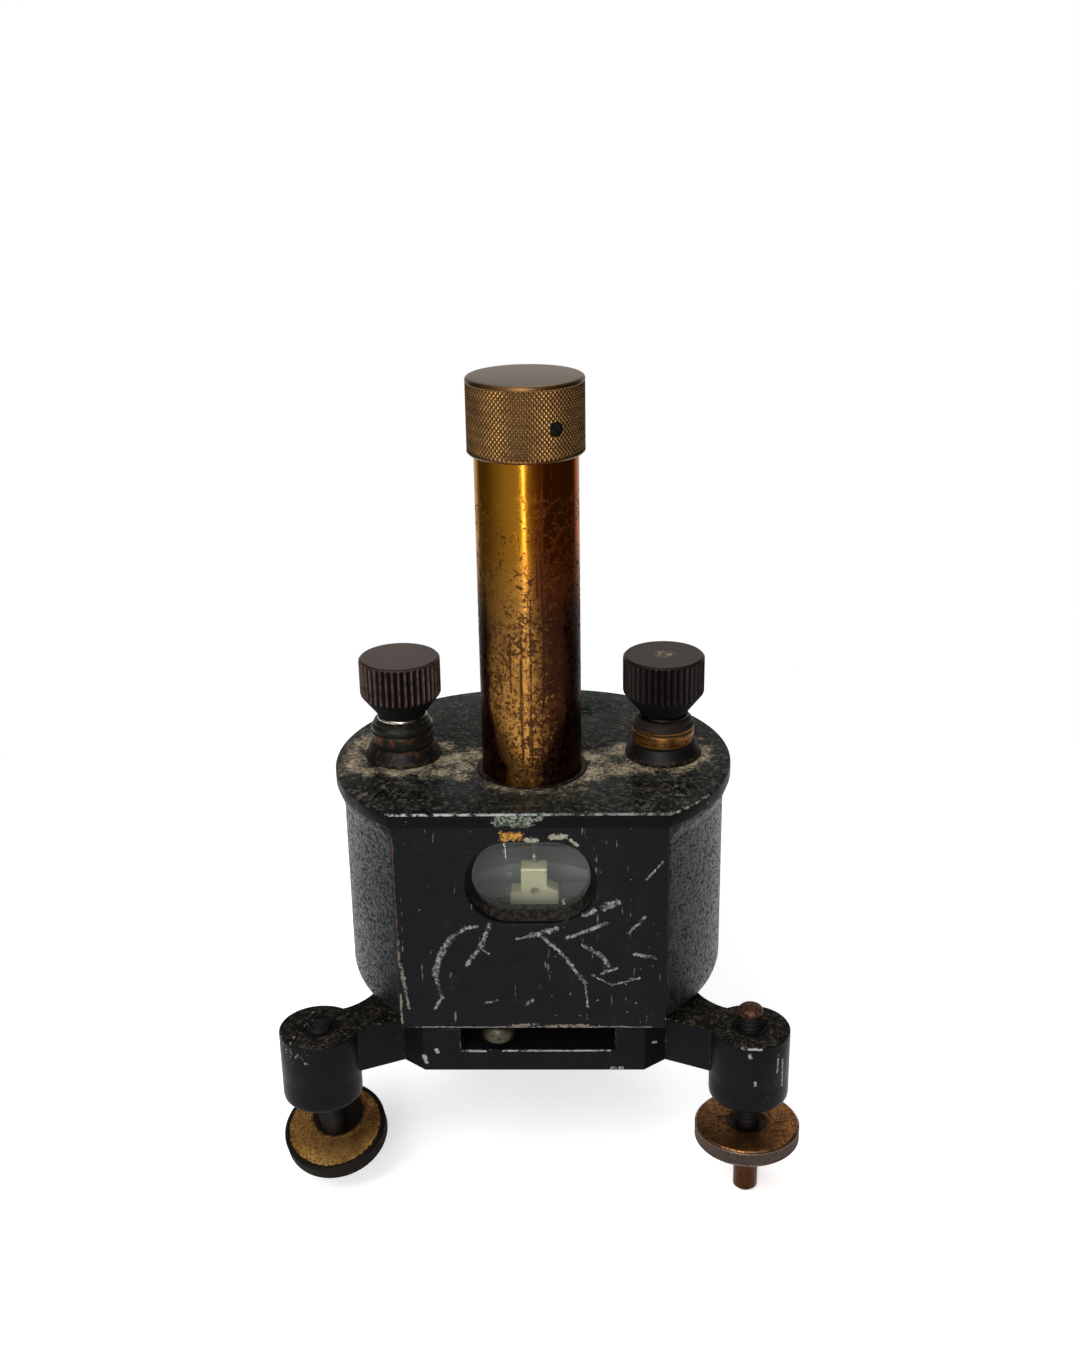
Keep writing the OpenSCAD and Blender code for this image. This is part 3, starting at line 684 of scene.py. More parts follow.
FRONT_CHIPS = [
    (0.9, -25.2, 43.2, -24.8, 42.5),
    (1.2, -28.4, 41.1, -27.8, 39.5),
    (1.0, 20.0, 37.5, 22.6, 37.7),
    (0.5, -18.4, 42.8, -12.5, 42.7),
    (0.45, -8.0, 42.8, 19.5, 42.9),
    (0.7, 30.6, 44.1, 31.4, 43.7),
]
BOSS_CHIPS = [
    (0.5, 52.4, 49.2, 57.3, 49.0),
    (0.9, 54.3, 47.4, 54.5, 46.8),
    (0.6, 55.9, 39.4, 56.0, 38.6),
    (0.4, 61.7, 46.3, 61.6, 41.0),
    (0.4, 63.0, 44.0, 63.1, 36.0),
]


FRONT_BOSSES = [foot_place(side) for side in ("left", "right")]


def base_look():
    m = Look("base_enamel", specular=0.05)
    m.tone = m.mix(m.noise(8.0, 4.0), 0x09090B, 0x111114)
    m.lay(0x222224, m.blot(0.58, 0.7, 1.8, 4.0, 0.7, 1), 0.4)
    top = m.both(m.step(m.up, 0.55, 0.85), m.step(m.z, 47.8, 48.6))
    dirt = m.mix(m.blot(0.42, 0.62, 2.6, 5.0, 0.72, 2), 0x080808, 0x242018)
    dirt = m.mix(m.both(m.blot(0.53, 0.59, 0.6, 5.0, 0.8, 3), 0.75), dirt, 0x605A4C)
    dirt = m.mix(m.both(m.blot(0.47, 0.54, 1.2, 5.0, 0.75, 4), 0.85), dirt, 0x060606)
    for x, y in FRONT_BOSSES:
        well = m.step(radius_from(m, x, y), 5.4, 4.4)
        dirt = m.mix(m.both(well, 0.9), dirt, 0x040404)
    m.lay(dirt, top)
    chips = m.specks(2.6, 0.5, 0.5, 5)
    near = m.step(m.z, 38.0, 47.5)
    outward = m.step(m.vector("LENGTH", m.join(m.x, m.y, 0.0)), 44.0, 56.0)
    chips = m.both(chips, m.blend(outward, 0.35, 1.0), m.blot(0.46, 0.55, 6.0, 3.0, 0.6, 6),
                   m.either(near, m.blot(0.52, 0.6, 9.0, 2.0, 0.5, 7)))
    rub = m.both(m.edge(0.6, 0.04, 0.25), m.blot(0.5, 0.58, 2.4, 5.0, 0.72, 8))
    flat = m.join(m.x, m.z, 0.0)
    marks = m.both(m.strokes(FRONT_CHIPS, flat, 0.5, 1.0, 9), m.step(m.y, -21.5, -22.5),
                   m.step(m.front, -0.3, -0.6))
    grain = m.blot(0.42, 0.5, 1.7, 5.0, 0.75, 14)
    worn = m.both(m.strokes(BOSS_CHIPS, flat, 0.95, 0.6, 13), m.step(m.front, 0.0, -0.3), grain)
    flecks = m.both(m.specks(1.0, 0.34, 0.8, 15), m.step(m.x, -54.5, -58.0), m.step(m.z, 41.0, 47.0),
                    m.blot(0.42, 0.52, 3.0, 3.0, 0.6, 17))
    flecks = m.either(flecks, m.both(m.specks(1.2, 0.28, 0.5, 16), m.step(m.x, 58.0, 62.0),
                                     m.step(m.up, 0.5, 0.2)))
    streaks = m.both(m.blot(0.6, 0.64, 0.8, 4.0, 0.7, 19, stretch=(1.0, 1.0, 0.5)),
                     m.step(m.x, -55.0, -58.5), m.step(m.z, 42.0, 48.0), m.step(m.front, 0.0, -0.3))
    marks = m.either(m.both(marks, grain), worn, flecks, streaks)
    pale = m.mix(m.noise(0.9, 3.0, 0.6, 10), 0x5C5C5A, 0xB0B0AC)
    m.lay(pale, chips, 0.7)
    m.lay(pale, rub, 0.5)
    m.lay(pale, marks, 0.9)
    m.bump(m.noise(2.2, 3.0, 0.55, 11), 0.12, 0.6)
    m.bump(m.both(top, m.noise(0.8, 4.0, 0.7, 12)), 0.16, 0.8)
    m.bump(m.less(1.0, m.either(chips, rub)), 0.08, 0.8)
    return m.finish(m.blend(top, m.blend(m.either(chips, rub), 0.36, 0.6), 0.72))


def bezel_look():
    m = Look("bezel_black", specular=0.12)
    m.tone = m.mix(m.noise(3.0, 4.0), 0x070708, 0x121110)
    low = m.both(m.step(m.z, 88.0, 81.5), m.blot(0.45, 0.6, 1.2, 5.0, 0.75, 1))
    m.lay(0x383024, low, 0.7)
    m.bump(m.noise(1.2, 4.0, 0.6, 2), 0.08, 0.7)
    return m.finish(m.blend(low, 0.35, 0.75))


DRIPS = [
    (0.9, 3.7, 184.0, 3.5, 168.0, 3.9, 150.0, 3.6, 132.0),
    (0.6, 2.4, 176.0, 2.5, 160.0),
    (0.6, 5.3, 172.0, 5.1, 154.0),
    (0.6, -1.8, 152.0, -1.9, 128.0, -1.7, 118.0),
    (0.5, 0.7, 160.0, 0.5, 136.0, 0.6, 116.0),
    (0.5, -4.6, 150.0, -4.5, 136.0),
]


def tube_look():
    m = Look("tube_lacquer", metallic=1.0, anisotropic=0.5, specular_tint=(0.7, 0.64, 0.6, 1.0))
    turn = m.math("ARCTAN2", m.x, m.both(m.y, -1.0))
    low = m.step(m.z, 178.0, 150.0)
    gold = m.mix(m.noise(11.0, 3.0, 0.5, 1), 0xD08E24, 0xBC7C24)
    brown = m.mix(m.noise(1.6, 5.0, 0.7, 15), 0xBE8A44, 0x765026)
    # Painted shade: from here the gold and the brown darken towards the tube's right side and at its far left
    # edge. Near the foot both dark sides reach further in, as a painted reflection of the dark plate.
    shade = m.plus(turn, m.sway(0.5, 3.5, 4.0, 0.6, 16))
    squeeze = m.both(m.step(m.z, 132.0, 112.0), 0.6)
    right_shade = m.plus(shade, squeeze)
    left_shade = m.less(shade, m.both(squeeze, 0.7))
    brown = m.mix(m.step(shade, -0.1, 0.45), brown, m.mix(m.noise(1.2, 4.0, 0.7, 17), 0x5C3620, 0x30190D))
    brown = m.mix(m.step(right_shade, 0.68, 0.86), brown, 0x080201)
    brown = m.mix(m.step(left_shade, -0.8, -0.98), brown, 0x0A0301)
    gold = m.mix(m.both(m.step(shade, -0.15, 0.3), 0.75), gold, 0x96320E)
    gold = m.mix(low, gold, brown)
    cracks = m.cells(2.6, "DISTANCE_TO_EDGE", at=m.shaken(1.1, 1.5, 2), seed=2).outputs["Distance"]
    cracks = m.both(m.step(cracks, 0.085, 0.05), m.blot(0.5, 0.53, 2.2, 5.0, 0.72, 3),
                    m.step(m.z, 189.0, 178.0))
    spots = m.blot(0.5, 0.53, 1.0, 5.0, 0.78, 4)
    spots = m.both(spots, m.blot(0.3, 0.5, 9.0, 3.0, 0.5, 5, stretch=(1, 1, 0.6)),
                   m.step(m.z, 176.0, 152.0))
    drips = m.blot(0.54, 0.59, 1.4, 5.0, 0.65, 6, stretch=(1.0, 1.0, 0.04))
    right = m.both(m.step(m.apart(turn, 0.38), 0.35, 0.1), m.step(m.z, 197.0, 180.0))
    drips = m.both(drips, m.either(right, m.both(low, 0.75)), m.blot(0.38, 0.5, 5.0, 4.0, 0.6, 7))
    unrolled = m.join(m.both(turn, TUBE_R), m.z, 0.0)
    drips = m.either(drips, m.both(m.strokes(DRIPS, unrolled, 0.9, 0.9, 19),
                                   m.blot(0.36, 0.46, 1.4, 4.0, 0.7, 20)))
    patch = m.both(m.blot(0.62, 0.68, 4.5, 4.0, 0.65, 8), m.step(turn, -0.2, 0.3),
                   m.step(m.z, 185.0, 165.0))
    foot = m.both(m.step(m.z, 119.0, 111.5), m.blot(0.35, 0.6, 3.0, 4.0, 0.6, 9))
    marks = m.either(cracks, spots, drips, m.both(patch, 0.6), m.both(foot, 0.6))
    dull = m.mix(m.noise(1.0, 3.0, 0.6, 10), 0x180905, 0x3C1A0C)
    # The golden flecks and the chips near the foot are real wear, but they are laid only on the front that
    # faces the light, so they also paint a highlight there.
    flecks = m.both(m.blot(0.54, 0.62, 1.3, 5.0, 0.75, 11), low, m.step(m.size(turn), 0.75, 0.3))
    m.tone = m.mix(m.both(marks, 0.9), gold, dull)
    m.lay(0xCE984C, flecks, m.less(1.0, marks), 0.6)
    foot_chips_and_sheen = m.both(m.step(m.z, 116.5, 113.0), m.blot(0.55, 0.6, 1.6, 5.0, 0.72, 18),
                  m.step(m.size(m.plus(turn, 0.05)), 0.35, 0.2))
    m.lay(0xCE964E, foot_chips_and_sheen, 0.8)
    m.bump(m.less(m.noise(0.7, 3.0, 0.6, 12), m.both(marks, 0.8)), 0.03, 0.4)
    return m.finish(m.blend(marks, m.blend(low, 0.16, 0.28), 0.55), m.blend(marks, 1.0, 0.85))


def cap_look():
    m = Look("cap_bronze", metallic=1.0)
    r = radius_from(m, 0, 0)
    side = m.step(r, 13.3, 13.7)
    top = m.step(m.up, 0.8, 0.95)
    brown = m.mix(m.noise(6.0, 4.0, 0.6, 1), 0x543C24, 0x705232)
    brown = m.mix(m.both(m.blot(0.52, 0.66, 0.8, 4.0, 0.7, 2), 0.4), brown, 0x4E341E)
    grey = m.mix(m.noise(7.0, 4.0, 0.6, 6), 0x968472, 0x7C6C5C)
    grey = m.mix(m.both(m.blot(0.56, 0.66, 0.9, 4.0, 0.7, 7), 0.35), grey, 0x605042)
    brown = m.mix(top, brown, grey)
    ridge = m.both(m.step(r, 14.12, 14.29), side, m.step(m.z, 210.8, 210.4), m.step(m.z, 194.2, 194.8))
    groove = m.both(m.step(r, 14.14, 13.95), side, m.step(m.z, 210.9, 210.5), m.step(m.z, 194.2, 194.6))
    m.tone = m.mix(m.both(groove, 0.95), brown, 0x120B07)
    m.lay(0xB0864A, ridge, m.blot(0.3, 0.6, 4.0, 3.0, 0.6, 3), 0.85)
    rim = m.both(m.edge(0.4, 0.04, 0.2), m.step(m.z, 210.6, 211.2))
    m.lay(0xCEB28E, rim, 0.8)
    stain = m.both(m.blot(0.55, 0.65, 3.5, 4.0, 0.65, 4), m.step(m.z, 197.4, 194.4))
    m.lay(0x2A1A0F, stain, 0.6)
    m.bump(m.noise(0.35, 3.0, 0.6, 5), 0.03, 0.5)
    return m.finish(m.blend(groove, 0.42, 0.7))


def head_look(name, centre, face, low, ridge_tone, star):
    m = Look(name, specular=0.15)
    r = radius_from(m, *centre)
    top = m.step(m.up, 0.8, 0.95)
    m.tone = m.mix(m.noise(3.5, 4.0, 0.6, 1), face, low)
    m.lay(0x0C0908, m.blot(0.52, 0.66, 0.7, 4.0, 0.7, 2), 0.35)
    side = m.step(m.z, 138.2, 137.8)
    ridge = m.both(m.step(r, 9.9, 10.35), side, m.blot(0.34, 0.6, 1.5, 4.0, 0.7, 3),
                   m.step(m.z, 127.6, 129.2))
    groove = m.both(m.step(r, 10.2, 9.75), side)
    m.lay(0x060404, groove, 0.92)
    m.lay(ridge_tone, ridge, 0.75)
    # Painted shadow: the cone below the flutes is laid black, as if shaded by the fluted head above it.
    m.lay(0x030202, m.step(m.z, 128.4, 127.4))
    m.lay(m.mix(m.noise(2.4, 5.0, 0.7, 6), 0x5C5048, 0x382E29), top, 0.8)
    m.lay(ridge_tone, m.edge(0.4, 0.05, 0.25), m.step(m.z, 137.2, 137.8), 0.5)
    if star:
        m.lay(0x161210, top, 0.45)
        mark = m.both(m.step(r, 3.4, 0.8), m.blot(0.5, 0.56, 1.1, 5.0, 0.78, 4), top)
        m.lay(0xAA927C, mark, 0.85)
    m.bump(m.noise(0.5, 4.0, 0.65, 5), 0.05, 0.6)
    return m.finish(m.blend(groove, 0.44, 0.75))


def post_look(name, bright):
    m = Look(name, metallic=1.0, specular=0.2)
    if bright:
        m.tone = m.mix(m.noise(2.5, 4.0, 0.65, 1), 0xBC8442, 0x684420)
        m.lay(0x281A10, m.blot(0.54, 0.6, 1.1, 5.0, 0.75, 2), 0.85)
        dark = m.either(m.step(m.z, 119.1, 119.6), m.step(m.z, 115.8, 115.3))
    else:
        m.tone = m.mix(m.noise(2.2, 4.0, 0.65, 1), 0x24261E, 0x141512)
        band = m.both(m.step(m.z, 115.8, 116.4), m.step(m.z, 119.0, 118.2),
                      m.blot(0.46, 0.54, 1.8, 5.0, 0.7, 6))
        m.lay(0x683E22, band, 0.8)
        tan = m.both(m.step(m.up, 0.3, 0.8), m.blot(0.52, 0.6, 1.0, 5.0, 0.75, 7))
        m.lay(0x60503A, tan, 0.5)
        dark = m.both(m.blot(0.5, 0.57, 1.3, 5.0, 0.75, 2), 0.8)
    groove = m.either(m.step(m.apart(m.z, 118.65), 0.45, 0.25), m.step(m.apart(m.z, 116.9), 0.22, 0.1))
    dark = m.either(dark, m.both(groove, 0.9))
    m.lay(0x120F0C, dark, 0.98)
    m.bump(m.noise(0.6, 4.0, 0.65, 3), 0.06, 0.6)
    return m.finish(m.blend(dark, 0.34, 0.6), m.blend(dark, 1.0 if bright else 0.5, 0.1))


def insulator_look():
    m = Look("insulator_ebonite", specular=0.12)
    m.tone = m.mix(m.noise(2.5, 4.0), 0x080706, 0x14110E)
    grime = m.both(m.step(m.z, 113.0, 111.4), m.blot(0.5, 0.6, 1.0, 5.0, 0.78, 1))
    m.lay(0x54422E, grime, 0.75)
    left = m.step(m.x, 0.0, -10.0)
    rust = m.both(m.step(m.z, 112.4, 114.4), left, m.blot(0.52, 0.6, 1.2, 5.0, 0.75, 2))
    m.lay(0x4E3420, rust, 0.7)
    m.bump(m.noise(0.7, 4.0, 0.7, 3), 0.1, 0.7)
    return m.finish(m.blend(grime, 0.45, 0.85))


def disc_look(name, golden):
    m = Look(name, metallic=1.0)
    fine = m.noise(0.65, 5.0, 0.78, 1)
    wide = m.noise(5.0, 4.0, 0.6, 2)
    if golden:
        m.tone = m.mix(m.step(wide, 0.35, 0.65), 0xBE8A48, 0xF0BE6C)
        dark = m.both(m.step(fine, 0.49, 0.54), 0.85)
        dull = 0x4C2A12
    else:
        m.tone = m.mix(m.step(wide, 0.35, 0.65), 0x966238, 0xC4864A)
        dark = m.both(m.either(m.step(fine, 0.5, 0.55), m.blot(0.53, 0.62, 2.2, 5.0, 0.72, 3)), 0.85)
        dull = 0x2E1B10
    m.lay(dull, dark)
    return m, dark


def level_disc_right_look(name, x, y):
    m, dark = disc_look(name, False)
    r = radius_from(m, x, y)
    side = m.step(r, 13.2, 13.42)
    groove = m.both(m.step(r, 13.52, 13.4), side)
    m.lay(0x2C201A, side, 0.9)
    m.lay(0x0A0706, groove, 0.92)
    rim = m.both(m.edge(0.35, 0.05, 0.2), m.step(m.z, 19.6, 20.2))
    m.lay(0xF4C08C, rim, 0.9)
    # Painted shadow of the stem and boss: a dark ring about the stem on the disc's face.
    stem_shadow = m.step(m.plus(r, m.both(m.noise(1.5, 4.0, 0.7, 6), 1.6)), 7.0, 5.6)
    m.lay(0x120C09, stem_shadow, 0.85)
    under = m.both(side, 0.8)
    m.bump(m.noise(0.6, 4.0, 0.7, 5), 0.05, 0.6)
    return m.finish(m.blend(dark, 0.36, 0.6), m.blend(under, 1.0, 0.2))


def level_disc_left_look(axis, origin):
    m, dark = disc_look("disc_gold", True)
    m.shader.inputs["Specular IOR Level"].default_value = 0.08
    away = m.vector("SUBTRACT", m.at, origin)
    along = m.vector("DOT_PRODUCT", away, tuple(axis))
    r = m.math("SQRT", m.less(m.vector("DOT_PRODUCT", away, away), m.both(along, along)))
    ragged = m.sway(1.6, 1.4, 4.0, 0.7, 6)
    # Painted highlight: the disc is laid darker everywhere but a patch towards its front, where the light
    # falls.
    bright = m.step(m.vector("DOT_PRODUCT", away, (0.3, -0.95, 0.0)), 1.0, 6.5)
    m.lay(0x684224, m.less(1.0, bright), 0.6)
    rim = m.either(m.step(m.plus(r, ragged), 11.9, 12.4), m.step(along, -0.5, -1.2))
    m.lay(m.mix(m.noise(1.2, 4.0, 0.7, 4), 0x030302, 0x120E0A), rim, 0.995)
    # Painted shadow of the boss and stem: black about the stem, reaching further up the slope.
    uphill = m.vector("SUBTRACT", away, (0.8, 3.6, 0.0))
    stem_shadow = m.step(m.plus(m.vector("LENGTH", uphill), ragged), 8.6, 6.6)
    m.lay(0x050403, stem_shadow, 0.99)
    m.bump(m.noise(0.6, 4.0, 0.7, 5), 0.05, 0.6)
    return m.finish(m.blend(m.either(dark, rim), 0.34, 0.6), m.blend(m.either(rim, stem_shadow), 1.0, 0.0))


def stem_look(name, top_tone, low=15.2):
    m = Look(name, metallic=1.0, specular=0.15)
    m.tone = m.mix(m.noise(2.2, 4.0, 0.65, 1), 0x54321A, 0x2C190E)
    m.lay(0x2C190E, m.blot(0.5, 0.58, 0.7, 5.0, 0.78, 2), 0.85)
    # Painted shadow: from low to just above the boss the stem is laid near black, standing for the boss's
    # shade on the stem above the disc.
    middle = m.both(m.step(m.z, low, low + 0.6), m.step(m.z, 53.9, 53.1))
    m.lay(m.mix(m.noise(1.4, 4.0, 0.7, 3), 0x040404, 0x0E0C0A), middle, 0.99)
    upper = m.step(m.z, 53.1, 53.9)
    m.lay(m.mix(m.blot(0.42, 0.58, 0.9, 5.0, 0.75, 4), top_tone, 0x18100C), upper)
    m.bump(m.noise(0.5, 4.0, 0.7, 5), 0.05, 0.6)
    return m.finish(m.blend(middle, 0.4, 0.6), m.blend(m.either(middle, m.both(upper, 0.6)), 0.9, 0.0))


def metal_look(name, light, dark, roughness=0.36, spots=0.56, size=1.2):
    """Bare metal with tarnish and a fine grain."""
    m = Look(name, metallic=1.0)
    m.tone = m.mix(m.noise(4.0, 4.0, 0.6, 1), light, dark)
    stain = m.blot(spots, spots + 0.08, size, 5.0, 0.7, 2)
    m.lay(tuple(c * 0.25 for c in rgb(dark)[:3]) + (1.0,), stain, 0.7)
    m.bump(m.noise(0.4, 3.0, 0.6, 3), 0.03, 0.5)
    return m.finish(m.blend(stain, roughness, roughness + 0.25))


def grey_paint(name, light, dark):
    """Plain satin paint."""
    m = Look(name, specular=0.3)
    m.tone = m.mix(m.noise(3.0, 4.0, 0.6, 1), light, dark)
    m.bump(m.noise(0.8, 3.0, 0.6, 2), 0.03, 0.5)
    return m.finish(0.5)


def winding_look():
    m = Look("winding_enamelled", metallic=0.6, coat_weight=0.4)
    wire = m.math("SINE", m.both(m.y, 32.0))
    m.tone = m.mix(m.step(wire, -0.6, 0.6), 0x401E0E, 0x965426)
    m.bump(wire, 0.06, 0.8)
    return m.finish(0.4)


def ivory_look():
    m = Look("holder_ivory", roughness=0.5, specular=0.4)
    m.tone = m.mix(m.noise(2.5, 4.0, 0.6, 1), 0xFFFAD0, 0xFAF0BE)
    m.lay(0x8C7A52, m.blot(0.56, 0.68, 0.6, 4.0, 0.7, 2), 0.35)
    # Painted shade: the hole's upper rim is laid dark.
    hole = m.vector("LENGTH", m.vector("SUBTRACT", m.join(m.x, m.z, 0.0), (0.3, 76.4, 0)))
    m.lay(0x463622, m.step(hole, 1.5, 1.05), m.step(m.z, 76.0, 77.0), 0.7)
    m.bump(m.noise(0.7, 3.0, 0.6, 3), 0.05, 0.5)
    return m.finish()


def pane_look(name, tint, gloss, veil):
    """A thin sheet that lets light through and mirrors what is in front of it."""
    m = Look(name, roughness=0.04, specular=0.5)
    clear = m.add("BsdfTransparent", tint)
    shine = m.add("BsdfGlossy")
    m.feed(shine.inputs["Roughness"], gloss)
    haze = m.add("BsdfDiffuse", (0.3, 0.31, 0.3, 1.0))
    smear = m.blot(0.45, 0.75, 5.0, 4.0, 0.6, 1)
    mirrored = m.plus(m.both(m.add("Fresnel", 1.5).outputs[0], 0.2), m.both(smear, 0.006))
    veiled = m.plus(veil, m.both(smear, 0.3 * veil))
    veiled = m.add("MixShader", veiled, clear.outputs[0], haze.outputs[0])
    m.feed(m.output, m.add("MixShader", mirrored, veiled.outputs[0], shine.outputs[0]).outputs[0])
    m.tree.nodes.remove(m.shader)
    return m.material


# Looks made once, for the pieces below
BASE = base_look()
CASE = case_look()
PLATE = plate_look()
COVER = cover_look()
BEZEL = bezel_look()
STEEL = metal_look("steel_plain", 0xACAAA4, 0x78746C)
DARK_SCREW = metal_look("steel_dark", 0x4E4C46, 0x282623, 0.42, 0.5)
INNER_BRASS = metal_look("brass_plain", 0xCCA864, 0x96703C, 0.32)


# Base casting

def turned(points, turn):
    a = math.radians(turn)
    c, s = math.cos(a), math.sin(a)
    return np.column_stack([c * points[:, 0] - s * points[:, 1], s * points[:, 0] + c * points[:, 1]])


BOSS_R = 10.25
BOSS_MEETS = 144.86
FLARE_X, FLARE_Y, FLARE_R = 53.606, 21.75, 16.0
right_arm = np.vstack([arc((FOOT_R, 0), BOSS_R, -BOSS_MEETS, BOSS_MEETS, 0.8),
                       arc((FLARE_X, FLARE_Y), FLARE_R, -97.85, -151.2)])
rear_arm = np.vstack([arc((FLARE_X, -FLARE_Y), FLARE_R, 151.2, 97.85),
                      arc((FOOT_R, 0), BOSS_R, -BOSS_MEETS, 0, 0.8)])
half = np.vstack([[(0.0, -27.0), (14.0, -27.0), (28.3, -27.0), (33.93, -22.33)],
                  turned(right_arm, FEET["right"]), arc((0, 0), 42.0, -3.6, 68.6, 1.5),
                  turned(rear_arm, FEET["rear"])])
outline = np.vstack([half, (half[1:-1] * (-1, 1))[::-1]])

low_boss = lathe(rows([(0, BOSS_BOTTOM), (8.7, BOSS_BOTTOM), (9.6, 29.8), (10.1, 30.4), (10.23, 31.2),
                       (10.23, 37.8), (0, 37.8)], 3.0))
bore = lathe([(0, 28), (4.1, 28), (4.1, 29.5), (3.225, 30.3), (3.225, 48.9), (3.9, 49.55), (3.9, 52),
              (0, 52)], 64)
screw_hole = lathe([(0, 35), (3.5, 35), (3.5, 39.8), (2, 39.8), (2, 52), (0, 52)], 48)
recess = lathe([(0, 36.3), (14.5, 36.3), (14.05, 37.25), (14.05, 37.8), (0, 37.8)])
slot_loop = fillet([(-18.8, -40.0, 0), (20.9, -40.0, 0), (20.9, 10.0, 2.0), (-18.8, 10.0, 2.0)], closed=True)

piece("base_body", slab([outline], edges(BASE_UNDER, BASE_TOP, 0.6, 0.7)), BASE, "base", "base_paint",
      "base_casting",
      add=[put(low_boss, turn, FOOT_R) for turn in FEET.values()],
      cut=[joined(*[put(bore, turn, FOOT_R) for turn in FEET.values()],
                  *[put(screw_hole, turn, 30.0) for turn in (90, 210, 330)]),
           recess,
           joined(*[put(rod(1.1, 37.3, 41.8, 32), turn, 10.5) for turn in (30, 150, 270)]),
           slab([slot_loop], [(0, 43.2), (0, 60.0)]),
           rod(6.05, 35.3, 43.8, 72)])


# Case, top plate and front cover

def plan(r):
    """Outline of two circles beside each other, filled between."""
    return np.vstack([arc((PLAN_HALF, PLAN_BACK), r, -90, 90), arc((-PLAN_HALF, PLAN_BACK), r, 90, 270)])


def flat_plan(r, front, corner=0.0):
    """The same, cut flat at the front, with corners rounded by a radius."""
    reach = math.degrees(math.asin((front + PLAN_BACK) / r))
    right = arc((PLAN_HALF, PLAN_BACK), r, -reach, 90)
    right = np.vstack([right[:1], right[2:]])
    line = [(x, y, 0.0) for x, y in np.vstack([right, (right * (-1, 1))[::-1]])]
    for end in (0, -1):
        line[end] = line[end][:2] + (corner,)
    return fillet(line, closed=True)


case_levels = edges(BASE_TOP, 102.5, 6.0, 0, 10, middle=(62, 75, 88))
case_levels += [(-0.5, 103.9), (-1.15, 105.3), (-1.4, 106.0), (-1.4, PLATE_UNDER)]
piece("case_body", slab([plan(CASE_R)], case_levels), CASE, "base", "case_paint", "body_case",
      cut=[block(-60, 60, -60, -CASE_FRONT, 40, 120),
           slab([flat_plan(CASE_INNER_R, CASE_INNER_FRONT)], [(0, CASE_FLOOR), (0, 110.0)]),
           block(-30, 30, -40, -15, CASE_FLOOR, 110), rod(24.0, 45.0, 60.0, 96)])

TUBE_HOLE_R, TERMINAL_HOLE_R, SCREW_HOLE_R = 13.95, 4.0, 2.65
plate_holes = [circle((0, 0), TUBE_HOLE_R)]
plate_holes += [circle(place, TERMINAL_HOLE_R, 0.6) for place in TERMINALS.values()]
plate_holes += [circle(place, SCREW_HOLE_R, 0.5) for place in PLATE_SCREWS]
plate_loops = [flat_plan(PLATE_R, PLATE_FRONT, 0.9)] + plate_holes
piece("plate_body", slab(plate_loops, edges(PLATE_UNDER, PLATE_TOP, 0.6, 0.75)),
      PLATE, "base", "plate_paint", "top_plate")


def screw_head(r, low, high, slot_w, slot_t, shank_r, shank_low, turn=0.0):
    """A slotted screw, its shank below the head."""
    obj = bare("screw", lathe([(0, shank_low), (shank_r - 0.3, shank_low), (shank_r, shank_low + 0.3),
                               (shank_r, low), (r - 0.15, low), (r, low + 0.15), (r, high - 0.3),
                               (r - 0.3, high), (0, high)], 48))
    cutter = block(-r - 1, r + 1, -slot_w / 2, slot_w / 2, high - slot_t, high + 1)
    boolean(obj, "DIFFERENCE", moved(cutter, Matrix.Rotation(math.radians(turn), 4, "Z")))
    mesh = obj.data
    points = np.array([v.co for v in mesh.vertices]) / MM
    faces = [tuple(p.vertices) for p in mesh.polygons]
    bpy.data.objects.remove(obj)
    return points, faces


screws = [moved(screw_head(2.6, 109.1, 110.8, 0.7, 0.7, 1.45, 98.9, turn), Matrix.Translation((x, y, 0)))
          for (x, y), turn in zip(PLATE_SCREWS, (64.0, 118.0, 20.0))]
piece("plate_screws", joined(*screws), PLATE, "base", "steel", "top_plate_screws")

cover_loop = dense(box_loop(-COVER_HALF, COVER_HALF, 49.9, 106.85, 0.6), 6.0)
piece("cover_body", slab([cover_loop, window_loop(hole=True)], edges(25.95, 27.5, 0.1, 0.35)),
      COVER, "base", "cover_paint", "front_cover", matrix=UPRIGHT)
bezel_levels = [(-1.2, 25.85), (-0.15, 25.85), (0.02, 25.7), (1.42, 23.6), (1.5, 23.5), (-1.2, 23.5)]
piece("bezel_body", wall(window_loop(), bezel_levels, closed=True), BEZEL, "base", "bezel_paint",
      "window_bezel", matrix=UPRIGHT, sharp=30)
piece("window_pane", slab([window_loop()], edges(22.25, 23.45, 0.1, 0.1, 2)),
      pane_look("window_clear", (0.97, 0.98, 0.97, 1.0), 0.03, 0.04), "base", "window", "window_glass",
      matrix=UPRIGHT)

# Suspension tube and torsion head
TUBE_BOTTOM = 97.9
TUBE_TOP = 208.4
TUBE_BORE_R = 11.5
tube_profile = [(12.5, TUBE_BOTTOM), (TUBE_R, TUBE_BOTTOM + 0.2), (TUBE_R, TUBE_TOP - 0.2), (12.5, TUBE_TOP),
                (TUBE_BORE_R, TUBE_TOP), (TUBE_BORE_R, TUBE_BOTTOM)]
piece("tube_body", lathe(rows(tube_profile, 4.0), 144, closed=True), tube_look(), "base", "tube_brass",
      "suspension_tube")

CAP_R = 14.3
CAP_LOW = 193.4
CAP_TOP = 211.8


def fading(value, low, high, first, last):
    """1 between low and high, which falls to 0 over a length at each end."""
    return min(1.0, max(0.0, (value - low) / first)) * min(1.0, max(0.0, (high - value) / last))


